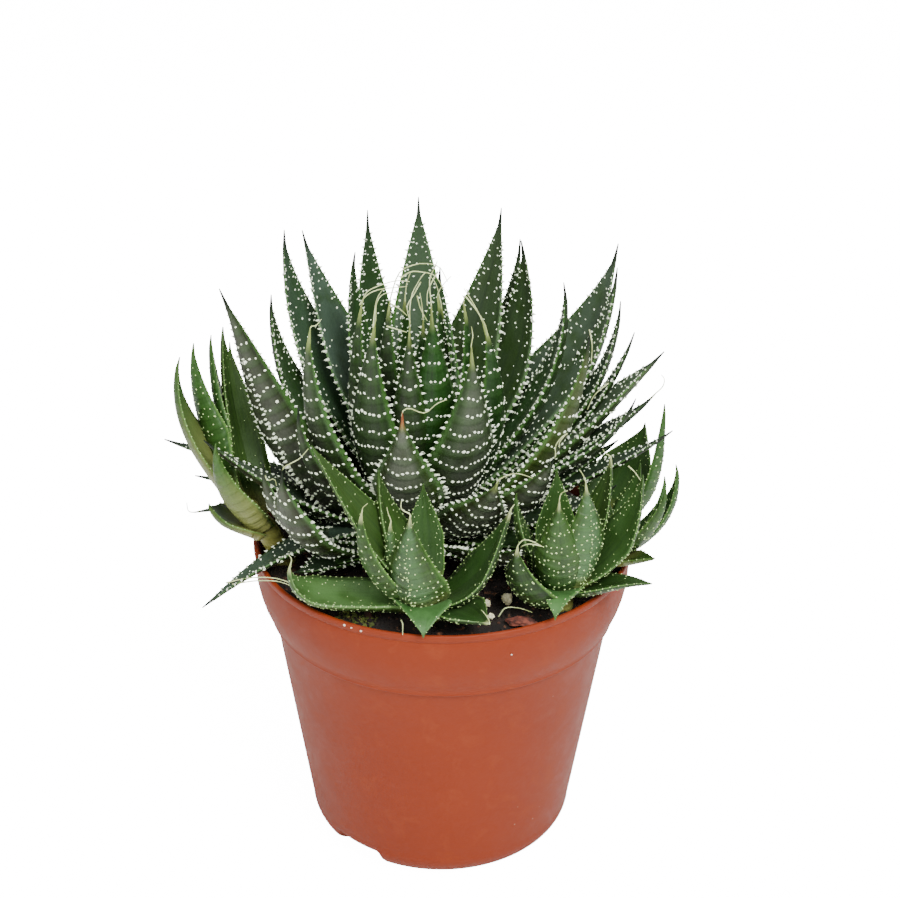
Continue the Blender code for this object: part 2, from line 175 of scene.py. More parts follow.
def plainOrganic(name, pale, dark, sizeMm, roughness):
    material, tree, shader = newMaterial(name, Roughness=roughness, IOR=1.45)
    place = addNode(tree, "ShaderNodeTexCoord").outputs["Object"]
    cloud = addNode(tree, "ShaderNodeTexNoise", {
        "Vector": place, "Scale": patternScale(sizeMm), "Detail": 3.0})
    sharp = addNode(tree, "ShaderNodeMapRange", {"Value": cloud, "From Min": 0.35, "From Max": 0.65})
    layColours(tree, shader, pale, [((sharp,), dark)])
    bump = addNode(tree, "ShaderNodeBump", {"Height": cloud, "Strength": 0.3, "Distance": 0.1 * mm})
    feed(tree, shader, Normal=bump)
    return material


def keep(piece, slotName, *nodes):
    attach(piece, "root")
    if nodes:
        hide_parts(*nodes)
    piece.data.calc_loop_triangles()
    print(piece.name, len(piece.data.loop_triangles), "triangles")


# Trees: studs and thorns on points, crumbs on a surface, threads along edges. Sizes are in mm, and
# the shares of width, depth and height say how far one stud or crumb differs from the next

stud = {"radius": 0.6, "height": 0.45, "seed": 5, "least": (0.75, 0.7, 0.8), "most": (1.4, 1.1, 1.2)}
thorn = {"length": 1.6, "footRadius": 0.6, "sides": 6}
crumb = {"density": 300000.0, "smallest": 0.4, "largest": 1.5, "seed": 3, "rarity": 3.0,
         "least": (0.5, 0.4, 0.35), "most": (1.3, 1.0, 0.9)}
thread = {"sides": 5, "steps": 14}


def onPoints(tree, given, shape, scale):  # one shape at each point, along its aim
    aim = addNode(tree, "GeometryNodeInputNamedAttribute", {"Name": "aim"}, data_type="FLOAT_VECTOR")
    turn = addNode(tree, "FunctionNodeAlignRotationToVector", {"Vector": aim}, axis="Z")
    instances = addNode(tree, "GeometryNodeInstanceOnPoints", {
        "Points": given["Geometry"], "Instance": shape, "Rotation": turn, "Scale": scale})
    endTree(tree, given, instances)
    return tree


def studTree():
    tree, given = newTree("studs on points", {
        "Radius": stud["radius"] * mm, "Height": stud["height"] * mm, "Seed": stud["seed"]})
    size = addNode(tree, "GeometryNodeInputNamedAttribute", {"Name": "size"}, data_type="FLOAT")
    shape = addNode(tree, "ShaderNodeCombineXYZ", {
        "X": given["Radius"], "Y": given["Radius"], "Z": given["Height"]})
    uneven = addNode(tree, "FunctionNodeRandomValue", {
        "Min": stud["least"], "Max": stud["most"], "Seed": given["Seed"]}, data_type="FLOAT_VECTOR")
    shape = addNode(tree, "ShaderNodeVectorMath", {0: shape, 1: uneven}, operation="MULTIPLY")
    scale = addNode(tree, "ShaderNodeVectorMath", {0: shape, "Scale": size}, operation="SCALE")
    ball = addNode(tree, "GeometryNodeMeshIcoSphere", {"Radius": 1.0, "Subdivisions": 1})
    return onPoints(tree, given, ball, scale)


def thornTree():
    tree, given = newTree("thorns on points", {
        "Length": thorn["length"] * mm, "Foot radius": thorn["footRadius"] * mm, "Sides": thorn["sides"]})
    size = addNode(tree, "GeometryNodeInputNamedAttribute", {"Name": "size"}, data_type="FLOAT")
    cone = addNode(tree, "GeometryNodeMeshCone", {
        "Vertices": given["Sides"], "Radius Top": 0.0, "Radius Bottom": given["Foot radius"],
        "Depth": given["Length"]})
    return onPoints(tree, given, cone, size)


def crumbTree():
    tree, given = newTree("crumbs on a surface", {
        "Per square metre": crumb["density"], "Smallest": crumb["smallest"] * mm,
        "Largest": crumb["largest"] * mm, "Seed": crumb["seed"]})
    points = addNode(tree, "GeometryNodeDistributePointsOnFaces", {
        "Mesh": given["Geometry"], "Density": given["Per square metre"], "Seed": given["Seed"]})
    turn = addNode(tree, "FunctionNodeRandomValue", {
        "Max": (math.tau, math.tau, math.tau), "Seed": given["Seed"]}, data_type="FLOAT_VECTOR")
    chance = addNode(tree, "FunctionNodeRandomValue", {"Seed": given["Seed"]}, data_type="FLOAT")
    rare = addNode(tree, "ShaderNodeMath", {0: chance, 1: crumb["rarity"]}, operation="POWER")
    size = addNode(tree, "ShaderNodeMapRange", {
        "Value": rare, "To Min": given["Smallest"], "To Max": given["Largest"]})
    shape = addNode(tree, "FunctionNodeRandomValue", {
        "Min": crumb["least"], "Max": crumb["most"], "Seed": given["Seed"]}, data_type="FLOAT_VECTOR")
    scale = addNode(tree, "ShaderNodeVectorMath", {0: shape, "Scale": size}, operation="SCALE")
    ball = addNode(tree, "GeometryNodeMeshIcoSphere", {"Radius": 1.0, "Subdivisions": 1})
    instances = addNode(tree, "GeometryNodeInstanceOnPoints", {
        "Points": points, "Instance": ball, "Rotation": turn, "Scale": scale})
    endTree(tree, given, instances)
    return tree


def threadTree():
    tree, given = newTree("threads along edges", {"Sides": thread["sides"], "Steps": thread["steps"]})
    line = addNode(tree, "GeometryNodeMeshToCurve", {"Mesh": given["Geometry"]})
    bent = addNode(tree, "GeometryNodeCurveSplineType", {"Curve": line}, spline_type="CATMULL_ROM")
    fine = addNode(tree, "GeometryNodeResampleCurve", {"Curve": bent, "Count": given["Steps"]})
    thickness = addNode(tree, "GeometryNodeInputNamedAttribute", {"Name": "thickness"}, data_type="FLOAT")
    ring = addNode(tree, "GeometryNodeCurvePrimitiveCircle", {"Resolution": given["Sides"], "Radius": 1.0})
    tube = addNode(tree, "GeometryNodeCurveToMesh", {
        "Curve": fine, "Profile Curve": ring, "Scale": thickness, "Fill Caps": True})
    endTree(tree, given, tube)
    return tree


studs = studTree()
thorns = thornTree()
crumbs = crumbTree()
threads = threadTree()
print("node trees ready")


# Camera at the photograph's angle, measured on the pot's rim, foot and sides

camera = {"distance": 700 * mm, "elevation": 33.467, "lens": 84.46, "sensor": 36, "roll": 0.42,
          "aimHeight": 52 * mm, "imageWidth": 900, "imageHeight": 898, "potMiddle": (441.51, 672.4)}


def makeCamera():
    data = bpy.data.cameras.new("camera")
    data.lens = camera["lens"]
    data.sensor_width = camera["sensor"]
    focal = camera["lens"] / camera["sensor"] * camera["imageWidth"]
    tilt = math.radians(camera["elevation"])
    place = Vector((0, -math.cos(tilt), math.sin(tilt))) * camera["distance"]
    roll = math.radians(camera["roll"])
    dx = camera["potMiddle"][0] - camera["imageWidth"] / 2
    dy = camera["potMiddle"][1] - camera["imageHeight"] / 2
    across = (dx * math.cos(roll) + dy * math.sin(roll)) / focal
    down = (dy * math.cos(roll) - dx * math.sin(roll)) / focal
    forward = -place.normalized()
    right = Vector((1, 0, 0))
    above = right.cross(forward)
    yaw = -math.atan(across)
    pitch = math.atan(down * math.cos(yaw))
    lifted = forward * math.cos(pitch) + above * math.sin(pitch)
    above = above * math.cos(pitch) - forward * math.sin(pitch)
    turned = lifted * math.cos(yaw) + right * math.sin(yaw)
    right = right * math.cos(yaw) - lifted * math.sin(yaw)
    rolledRight = right * math.cos(roll) + above * math.sin(roll)
    rolledAbove = above * math.cos(roll) - right * math.sin(roll)
    frameAxes = Matrix((rolledRight, rolledAbove, -turned)).transposed().to_4x4()
    body = placed("camera", data)
    body.matrix_world = Matrix.Translation(place + Vector((0, 0, camera["aimHeight"]))) @ frameAxes
    bpy.context.scene.camera = body


makeCamera()


# Studio: a white room and floor that look brighter to the eye than they light the plant

studio = {"floorSize": 6.0, "floorColour": "#f4f4f2", "room": "#ffffff", "roomLight": 0.55,
          "roomSeen": 16.0, "floorSeen": 15.0, "aim": (0, 0, 0.12)}
lamps = {  # place, watts, width, all aimed at the plant
    "key": ((0.5, -1.0, 1.35), 43, 0.6),
    "fill": ((-0.6, -1.2, 0.95), 15, 0.9),
    "top": ((0.1, 0.3, 1.4), 12, 0.8),
}


def makeStudio():
    half = studio["floorSize"] / 2
    paper = {"Base Color": hexColour(studio["floorColour"]), "Emission Color": hexColour(studio["room"])}
    material, tree, shader = newMaterial("white paper floor", Roughness=0.9, **paper)
    seen = addNode(tree, "ShaderNodeLightPath").outputs["Is Camera Ray"]
    glow = addNode(tree, "ShaderNodeMath", {0: seen, 1: studio["floorSeen"]}, operation="MULTIPLY")
    tree.links.new(glow.outputs[0], shader.inputs["Emission Strength"])
    corners = [(-half, -half, 0), (half, -half, 0), (half, half, 0), (-half, half, 0)]
    floor = newPiece("floor", corners, [(0, 1, 2, 3)], material)
    world = bpy.data.worlds.new("white room")
    world.use_nodes = True
    tree = world.node_tree
    background = tree.nodes["Background"]
    background.inputs["Color"].default_value = hexColour(studio["room"])
    seen = addNode(tree, "ShaderNodeLightPath").outputs["Is Camera Ray"]
    strength = addNode(tree, "ShaderNodeMapRange", {
        "Value": seen, "To Min": studio["roomLight"], "To Max": studio["roomSeen"]})
    tree.links.new(strength.outputs["Result"], background.inputs["Strength"])
    bpy.context.scene.world = world
    for name, (place, watts, width) in lamps.items():
        data = bpy.data.lights.new(name, "AREA")
        data.energy = watts
        data.size = width
        lamp = placed(name, data)
        lamp.location = place
        lamp.rotation_euler = (Vector(studio["aim"]) - Vector(place)).to_track_quat("-Z", "Y").to_euler()


makeStudio()
print("camera and studio ready")


# Pot: injection-moulded polypropylene, so a fine satin skin with faint rubs and lime specks.
# Heights and radii are in mm. The lip is given outward of the rim and down from the top. The dust
# lies on the inner wall, over the soil. The moulded grain is drawn at about a millimetre, ten times
# as coarse as the real one, so that it shows

pot = {"height": 104, "rimRadius": 60, "collarHeight": 24.2, "wallTop": 54, "foot": 41.6, "corner": 9,
       "rimRound": 0.6, "rimWidth": 1.6,
       "lip": ((-0.05, 1.6), (-0.35, 2.3), (-0.75, 2.9), (-0.6, 3.8), (-0.5, 5.5)),
       "collarCurve": ((59.2, 92.5), (58.55, 89.3), (57.6, 86), (56.3, 82.8), (55.35, 80.6)),
       "ledge": 0.9, "ledgeRound": 0.5, "wall": 1.4, "segments": 240, "sharpAngle": 40,
       "notches": (229, 49), "notchWidth": 19, "notchHeight": 3.8, "notchDepth": 9, "notchReach": 12,
       "notchSide": 1.2, "notchEnd": 2.5,
       "colour": "#7c2d0e", "shade": "#702609", "rubbed": "#914628", "lime": "#e6cfc0", "dust": "#2a1a12",
       "cloudSize": 41.67, "rubSize": 9.091, "speckGap": 4.348, "patchSize": 33.33, "grainSize": 1.111,
       "dustShare": 0.7, "dustInside": (1, 1.4), "dustTop": (0.5, 3), "dustFoot": (8, 6),
       "flecks": ((-28.9, -52.6, 103.2), (-26.8, -53.7, 103.0), (-23.9, -55.1, 102.8), (20.8, -55.9, 95.4)),
       "fleckSizes": (0.9, 0.55, 0.8, 0.55), "fleckHeight": 0.3}


def wallRadius(height):
    slope = (pot["wallTop"] - pot["foot"]) / (pot["height"] - pot["collarHeight"])
    return pot["foot"] + slope * height


def innerRadius(height):
    collarFoot = pot["height"] - pot["collarHeight"]
    if height <= collarFoot:
        return wallRadius(height) - pot["wall"]
    inside = wallRadius(collarFoot) - pot["wall"]
    widening = pot["rimRadius"] - pot["rimWidth"] - inside
    return inside + widening * (height - collarFoot) / pot["collarHeight"]


def turnedMesh(name, profile, segments, material):
    edges = [(i, i + 1) for i in range(len(profile) - 1)]
    piece = pointHost(name, [(radius * mm, 0, height * mm) for radius, height in profile], {}, edges)
    screw = piece.modifiers.new("turn", "SCREW")
    screw.steps = segments
    screw.render_steps = segments
    screw.use_merge_vertices = True
    screw.merge_threshold = 0.01 * mm
    solid = plainMesh(piece)
    solid.materials.clear()
    solid.materials.append(material)
    return piece


def potPlastic():
    material, tree, shader = newMaterial("moulded polypropylene", IOR=1.49)
    shader.inputs["Specular IOR Level"].default_value = 0.2
    place = addNode(tree, "ShaderNodeTexCoord").outputs["Object"]
    cloud = addNode(tree, "ShaderNodeTexNoise", {
        "Vector": place, "Scale": patternScale(pot["cloudSize"]), "Detail": 4.0})
    rubs = addNode(tree, "ShaderNodeTexNoise", {
        "Vector": place, "Scale": patternScale(pot["rubSize"]), "Detail": 6.0, "Roughness": 0.7,
        "Distortion": 0.4})
    worn = addNode(tree, "ShaderNodeMapRange", {
        "Value": rubs, "From Min": 0.52, "From Max": 0.78, "To Max": 0.3})
    specks = addNode(tree, "ShaderNodeTexVoronoi", {
        "Vector": place, "Scale": patternScale(pot["speckGap"])})
    dot = addNode(tree, "ShaderNodeMapRange", {
        "Value": specks, "From Min": 0.07, "From Max": 0.03, "To Max": 0.35})
    patch = addNode(tree, "ShaderNodeTexNoise", {"Vector": place, "Scale": patternScale(pot["patchSize"])})
    rare = addNode(tree, "ShaderNodeMapRange", {"Value": patch, "From Min": 0.58, "From Max": 0.68})
    flat = addNode(tree, "ShaderNodeVectorMath", {0: place, 1: (1, 1, 0)}, operation="MULTIPLY")
    radius = addNode(tree, "ShaderNodeVectorMath", {0: flat}, operation="LENGTH").outputs["Value"]
    height = addNode(tree, "ShaderNodeSeparateXYZ", {"Vector": place}).outputs["Z"]
    dustEdges = ((radius, "rimRadius", "dustInside"), (height, "height", "dustTop"),
                 (height, "height", "dustFoot"))
    inside, low, high = (addNode(tree, "ShaderNodeMapRange", {
        "Value": value, "From Min": (pot[whole] - pot[edge][0]) * mm,
        "From Max": (pot[whole] - pot[edge][1]) * mm}) for value, whole, edge in dustEdges)
    layColours(tree, shader, pot["shade"], [
        ((cloud,), pot["colour"]), ((worn,), pot["rubbed"]), ((dot, rare), pot["lime"]),
        ((inside, low, high, pot["dustShare"]), pot["dust"])])
    gloss = addNode(tree, "ShaderNodeMapRange", {
        "Value": rubs, "From Min": 0.3, "From Max": 0.75, "To Min": 0.46, "To Max": 0.62})
    grain = addNode(tree, "ShaderNodeTexNoise", {
        "Vector": place, "Scale": patternScale(pot["grainSize"]), "Detail": 3.0})
    skin = addNode(tree, "ShaderNodeMath", {0: grain, 1: rubs}, operation="ADD")
    bump = addNode(tree, "ShaderNodeBump", {"Height": skin, "Strength": 0.2, "Distance": 0.15 * mm})
    feed(tree, shader, Roughness=gloss, Normal=bump)
    return material


def arc(centre, radius, start, end, steps):
    angles = np.radians(np.linspace(start, end, steps + 1))
    return [(centre[0] + radius * math.cos(a), centre[1] + radius * math.sin(a)) for a in angles]


def notchLift(x, y, z):
    turn = math.degrees(math.atan2(y, x))
    radius = math.hypot(x, y)
    side = pot["notchSide"]
    lift = 0
    for angle in pot["notches"]:
        aside = abs((turn - angle + 180) % 360 - 180) * math.pi / 180 * wallRadius(0)
        wide = min(max((pot["notchWidth"] / 2 + side - aside) / (2 * side), 0), 1)
        deep = min(max((radius - wallRadius(0) + pot["notchDepth"]) / pot["notchEnd"], 0), 1)
        near = max(1 - z / pot["notchReach"], 0)
        lift += pot["notchHeight"] * near * wide * wide * (3 - 2 * wide) * deep
    return lift


def makePot():
    top, rim, wall, corner = pot["height"], pot["rimRadius"], pot["wall"], pot["corner"]
    collarFoot = top - pot["collarHeight"]
    middle = wallRadius(corner) - corner
    turn = pot["rimRound"]
    profile = arc((rim - turn, top - turn), turn, 90, 0, 4)
    profile += [(rim + out, top - down) for out, down in pot["lip"]]
    profile += pot["collarCurve"]
    profile += arc((pot["wallTop"] + pot["ledge"], collarFoot + 0.4), pot["ledgeRound"], 0, -90, 4)
    profile += [(wallRadius(collarFoot) + 0.15, collarFoot - 0.15)]
    profile += [(wallRadius(z), z) for z in (collarFoot - 1, 60, 40, 24, 19, 16, 14, 12, 10.5)]
    profile += arc((middle, corner), corner, 0, -90, 12)
    profile += [(middle - 1.5, 0), (middle - 3, 0), (0, 0), (0, wall), (middle - 3, wall)]
    profile += [(middle, wall), (innerRadius(corner) - 3, 4), (innerRadius(corner), corner)]
    profile += [(innerRadius(z), z) for z in (14, 20, collarFoot, top - 5, top - 1)]
    profile += [(rim - 1.3, top - 0.2), (rim - 1.0, top), (rim - turn, top)]
    body = turnedMesh("nurseryPot", profile, pot["segments"], potPlastic())
    for vert in body.data.vertices:
        vert.co.z += notchLift(*(vert.co / mm)) * mm
    body.data.shade_smooth()
    body.data.set_sharp_from_angle(angle=math.radians(pot["sharpAngle"]))
    keep(body, "pot", "pot")
    flecks = np.array(pot["flecks"])
    aims = flecks * (1, 1, 0) / rim
    salt = plainOrganic("lime fleck", "#ecdccf", "#d7b9a6", 0.8, 0.8)  # dried hard water, chalky and matte
    host = pointHost("limeFlecks", flecks * mm, {"aim": aims, "size": pot["fleckSizes"]})
    keep(growPiece(host, studs, {"Height": pot["fleckHeight"] * mm, "Material": salt}), "pot")


makePot()
print("pot ready")


# Soil: damp peat, almost black, with loose crumbs, bark fibres and a little moss

soil = {"top": 99.5, "relief": 0.7, "waves": (7, 9, 4.5), "rings": 44, "segments": 150, "floor": 1.7,
        "edgeGap": 0.3, "wallGap": 0.6, "lump": 0.55, "lumpSizes": (2.2, 0.9), "clodSize": 3.846,
        "fibreSize": 1.923, "dark": "#0d0906", "brown": "#241811", "fibre": "#5a3c28", "crumbRoom": 1.5,
        "mossPlace": (-26, -42.5), "mossRadius": 6.5, "discRings": 12, "discSegments": 48}
crumbLayers = {  # name: crumbs per square metre, smallest, largest, seed, colours
    "peatCrumbs": (260000.0, 0.35, 1.7, 3, (soil["dark"], soil["brown"], soil["fibre"])),
    "barkCrumbs": (22000.0, 0.6, 2.3, 8, ("#2c1a12", "#4a2c1d", "#7a4a30")),
    "mossCrumbs": (1500000.0, 0.3, 1.1, 5, ("#2e3212", "#5d6a28", "#8a8a48")),
}


def soilHeight(x, y):
    longWave, crossWave, slantWave = soil["waves"]
    waves = math.sin(x / longWave + 1) * math.cos(y / crossWave) + 0.6 * math.sin((x - y) / slantWave)
    return soil["top"] + soil["relief"] * waves / 1.6


def peatMaterial(name, dark, brown, fibre):  # matte and open, so it drinks the light
    material, tree, shader = newMaterial(name, Roughness=0.93, IOR=1.45)
    place = addNode(tree, "ShaderNodeTexCoord").outputs["Object"]
    clods = addNode(tree, "ShaderNodeTexNoise", {
        "Vector": place, "Scale": patternScale(soil["clodSize"]), "Detail": 6.0, "Roughness": 0.7})
    sharp = addNode(tree, "ShaderNodeMapRange", {"Value": clods, "From Min": 0.35, "From Max": 0.7})
    bits = addNode(tree, "ShaderNodeTexNoise", {
        "Vector": place, "Scale": patternScale(soil["fibreSize"]), "Detail": 2.0})
    few = addNode(tree, "ShaderNodeMapRange", {
        "Value": bits, "From Min": 0.63, "From Max": 0.68, "To Max": 0.8})
    layColours(tree, shader, dark, [((sharp,), brown), ((few,), fibre)])
    bump = addNode(tree, "ShaderNodeBump", {"Height": clods, "Strength": 0.7, "Distance": 0.8 * mm})
    feed(tree, shader, Normal=bump)
    return material


def soilDisc(name, middle, reach, material):
    rings, segments = soil["discRings"], soil["discSegments"]
    points, faces = [(middle[0] * mm, middle[1] * mm, soilHeight(*middle) * mm)], []
    for ring in range(1, rings + 1):
        for i in range(segments):
            radius, turn = reach * ring / rings, math.tau * i / segments
            x, y = middle[0] + radius * math.cos(turn), middle[1] + radius * math.sin(turn)
            points.append((x * mm, y * mm, soilHeight(x, y) * mm))
    for i in range(segments):
        faces.append((0, 1 + i, 1 + (i + 1) % segments))
        for ring in range(rings - 1):
            a, b = 1 + ring * segments + i, 1 + ring * segments + (i + 1) % segments
            faces.append((a, a + segments, b + segments, b))
    return newPiece(name, points, faces, material)


def makeSoil():
    edge = innerRadius(soil["top"]) - soil["edgeGap"]
    collarFoot = pot["height"] - pot["collarHeight"]
    profile = [(edge * i / soil["rings"], soil["top"]) for i in range(soil["rings"] + 1)]
    profile += [(innerRadius(z) - soil["wallGap"], z) for z in (collarFoot, pot["corner"])]
    profile += [(pot["foot"] - pot["notchDepth"] - 3, soil["floor"]), (0, soil["floor"])]
    peat = peatMaterial("damp peat", soil["dark"], soil["brown"], soil["fibre"])
    bed = turnedMesh("peatBed", profile, soil["segments"], peat)
    coarse, fine = soil["lumpSizes"]
    for vert in bed.data.vertices:
        if vert.co.z > (soil["top"] - 0.3) * mm:
            x, y = vert.co.x / mm, vert.co.y / mm
            lumps = noise.noise(Vector((x, y, 0)) / coarse) + 0.6 * noise.noise(Vector((x, y, 9)) / fine)
            vert.co.z = (soilHeight(x, y) + soil["lump"] * lumps) * mm
    bed.data.shade_smooth()
    keep(bed, "soil", "soil")
    for name, (density, smallest, largest, seed, colours) in crumbLayers.items():
        grit = peatMaterial(name, *colours)
        if name == "mossCrumbs":
            host = soilDisc(name, soil["mossPlace"], soil["mossRadius"], grit)
        else:
            host = soilDisc(name, (0, 0), edge - soil["crumbRoom"], grit)
        growPiece(host, crumbs, {"Per square metre": density, "Smallest": smallest * mm,
                                 "Largest": largest * mm, "Seed": seed, "Material": grit})
        keep(host, "soil")


makeSoil()
print("soil ready")


# Leaves. Azimuth 0 is +X and 90 is the far side. Reach and height place the tip above the soil,
# rise and tipRise are the angles at the root and at the tip, twist turns the blade about its
# length, and full is where it begins to narrow. Surface names its finish, and awn gives the dry
# thread at its tip as steps to the right, away from the viewer and up from the tip.

Leaf = namedtuple("Leaf", "azimuth reach height rise tipRise width twist full surface awn",
                  defaults=(0, 0.52, "crown", ()))
Rosette = namedtuple("Rosette", "name node x y stemRadius stemHeight stemDepth leaves lean",
                     defaults=((0, 0),))

# Bloom is the waxy grey film, shade runs from near black to vivid green, warm from green to olive,
# root is the length share of the root zone, painted shade near black on the main rosette and the
# pale base on the young ones, dots the share of spots on the inner face, dry the dead share at the
# tip, and keel the share of teeth along the keel
Surface = namedtuple("Surface", "bloom shade warm root dots dry keel", defaults=(0.45, 0.6, 0, 0))
surfaces = {
    "crown": Surface(0.15, 0.5, 0.1, 0.6, 1.0),
    "vivid": Surface(0.0, 0.7, 0.0, 0.6, 1.0),
    "tall": Surface(0.15, 0.6, 0.05, 0.3, 1.0),
    "blue": Surface(0.5, 0.6, 0.1, 0.3, 1.0),
    "slate": Surface(0.8, 0.4, 0.15, 0.3, 0.6),
    "dusk": Surface(0.2, 0.4, 0.25, 0.3, 0.8),
    "drab": Surface(0.8, 0.6, 0.35, 0.3, 0.9),
    "olive": Surface(0.2, 0.9, 0.7, 0.2, 1.0),
    "ridge": Surface(0.2, 0.9, 0.25, 0.3, 1.0),
    "umber": Surface(0.7, 0.6, 0.4, 0.2, 1.0),
    "night": Surface(0.3, 0.2, 0.1, 0.4, 1.0),
    "ash": Surface(0.65, 0.2, 0.3, 0.5, 0.8),
    "ashKeel": Surface(0.5, 0.12, 0.2, 0.55, 1.0, 0, 1),
    "ember": Surface(1.0, 0.35, 0.3, 0.5, 0.7, 0.08),
    "mist": Surface(0.55, 0.5, 0.15, 0.65, 0.8),
    "speckled": Surface(0.7, 0.15, 0.3, 0.3, 1.0),
    "shade": Surface(0.4, 0.25, 0.15, 0.4, 0.7),
    "fresh": Surface(0.2, 0.6, 0.1, 0.2, 1.0),
    "plain": Surface(0.1, 0.5, 0.15, 0.15, 0.5),
    "deep": Surface(0.1, 0.3, 0.05, 0.1, 0.3),
    "frost": Surface(0.7, 0.6, 0.1, 0.3, 1.0, 0, 1),
    "silver": Surface(0.75, 0.7, 0.2, 0.1, 1.0),
    "tongue": Surface(1.0, 0.9, 0.0, 0.1, 0.5),
    "lime": Surface(0.0, 1.1, 0.05, 0.3, 0.9),
    "pale": Surface(0.35, 1.0, 0.15, 0.8, 0.0),
    "sheath": Surface(0.0, 1.1, 0.35, 0.7, 0.0),
}

tallLeaves = (
    Leaf(92, 38, 103, 72, 78, 19, surface="tall"),
    Leaf(78, 27, 84, 64, 84, 17, surface="tall"),
    Leaf(117, 38, 100, 46, 92, 16, surface="tall"),
    Leaf(138, 51, 93, 54, 72, 18, surface="slate"),
    Leaf(146, 52, 95, 48, 92, 19, surface="blue"),
    Leaf(142, 26, 93, 60, 100, 13, surface="tall"),
    Leaf(54, 42, 101, 60, 84, 20, surface="dusk"),
    Leaf(38, 39, 94, 48, 104, 19, 10, surface="dusk"),
    Leaf(49, 47, 90, 45, 88, 12, surface="dusk"),
    Leaf(10, 44, 87, 44, 98, 17, -5, surface="tall"),
    Leaf(24, 67, 92, 38, 80, 24, 10, 0.55, surface="drab"),
    Leaf(14, 62, 89, 32, 86, 17, surface="ridge"),
    Leaf(162, 49, 79, 32, 92, 17, surface="crown"),
    Leaf(-161, 62, 96, 18, 70, 24, 45, 0.38, surface="ashKeel"),
)
rightLeaves = (
    Leaf(5, 61, 82, 30, 88, 13, surface="night"),
    Leaf(0, 65, 74, 28, 74, 11, surface="night"),
    Leaf(-4, 74, 70, 26, 50, 22, 0, 0.6, surface="umber"),
    Leaf(-8, 72, 58, 33, 50, 17, surface="night", awn=((2.2, 0, 2.5), (2.6, 0, 5), (1.6, 0, 6.5))),
    Leaf(-15, 67, 60, 38, 70, 14, surface="night"),
    Leaf(-8, 78, 46, 23, 42, 12, surface="night"),
    Leaf(-12, 62, 28, 8, 44, 14, surface="night"),
    Leaf(-26, 55, 84, 28, 86, 18, surface="olive"),
)
frontLeaves = (
    Leaf(-129, 21, 85, 44, 104, 19, awn=((0.3, 0, 5), (2.3, 0, 8), (6, -1, 9))),
    Leaf(-156, 19, 87, 50, 100, 16, awn=((1.5, 0, 3.2), (6.5, 0, 5.6), (10.5, -1, 7.1), (14, -1, 6.8))),
    Leaf(-139, 12, 88, 60, 98, 14,
         awn=((2.5, 0, 8), (6.5, 0, 10.7), (10.5, 0, 11.3), (14.5, 0, 10.3), (17, 0, 5.5))),
    Leaf(-76, 13, 88, 50, 102, 18, surface="vivid", awn=((-0.5, 0, 8), (1, 0, 12), (1.7, 0, 14))),
    Leaf(-100, 18, 84, 50, 100, 13, awn=((0, 0, 5), (0.8, 0, 10), (3.4, -1, 15.5), (4.6, -1, 17))),
    Leaf(-9, 13, 84, 60, 96, 13, surface="vivid", awn=((0.3, 0, 2.5),)),
    Leaf(-29, 21, 82, 44, 110, 19, surface="vivid", awn=((-2.6, 1, 5), (-5.5, 2, 9.5))),
    Leaf(-60, 30, 81, 40, 97, 22, surface="mist", awn=((0.4, 0, 3), (0, 0, 6))),
    Leaf(-98, 36, 64, 36, 94, 21, surface="ember",
         awn=((2, 0, 1.2), (6.5, -1, 0.2), (10, -1, 3.2), (13, -1, 4.6))),
    Leaf(-151, 37, 83, 34, 98, 19, surface="mist", awn=((1.6, 0, 0.5), (3.2, 0, 2.5))),
    Leaf(-61, 48, 45, 22, 66, 18, -25, 0.6, surface="speckled",
         awn=((3, 0, 1.8), (6, 0, 2.2), (10, 0, 0.8))),
    Leaf(-42, 54, 50, 18, 66, 18, -25, 0.6, surface="speckled",
         awn=((0, 0, 3.5), (1.8, 0, 6.5), (3.4, 0, 7.5))),
    Leaf(-58, 58, 27, 6, 50, 15, -25, 0.6, surface="speckled",
         awn=((2, -1, 1.2), (5, -1, 0.6), (8, -1, -0.6))),
)
leftLeaves = (
    Leaf(-149, 77, -1, 17, -28, 12, 10, 0.45, surface="slate"),
    Leaf(-137, 55, 46, 2, 98, 19, 0, 0.74, surface="ash", awn=((2, 0, 1.5), (5, 0, 3.4), (7.6, 0, 6.6))),
    Leaf(-150, 54, 42, 4, 92, 17, 0, 0.72, surface="ash",
         awn=((0, 0, -3), (1, -1, -5.2), (3, -1, -4.6), (3.6, -1, -7))),
    Leaf(-145, 44, 60, 30, 92, 15, surface="shade"),
    Leaf(-139, 51, 8, 5, 16, 16, surface="night"),
    Leaf(-160, 69, 48, 14, 46, 14, surface="ash"),
    Leaf(177, 81, 34, 16, 18, 12, surface="night"),
    Leaf(168, 75, 15, 14, 4, 11, surface="night"),
    Leaf(173, 74, 5, 24, -16, 11, surface="night", awn=((-1.8, 0, 0.5), (-2.2, 0, 3.5))),
    Leaf(168, 60, 74, 24, 78, 12, surface="crown"),
)
hiddenRows = (  # azimuths, reach, height, rise, tipRise, width
    ((46, 70, 96, 124), 50, 64, 44, 70, 14),
    ((14, 38, 62, 86, 110, 134), 63, 47, 26, 58, 14),
    ((50, 90, 130), 72, 22, 12, 30, 13),
    ((-172, -128, -108, -60, -36, -16, 6), 44, 12, 10, 8, 15),
    ((24, 35), 57, 6, 4, 4, 20),
    ((0, 14), 60, 40, 12, 40, 18),
)
heart = {"count": 4, "turn": 137.5}
scatter = {"seed": 12, "turn": 4, "reach": 3, "height": 3}  # of the hidden leaves
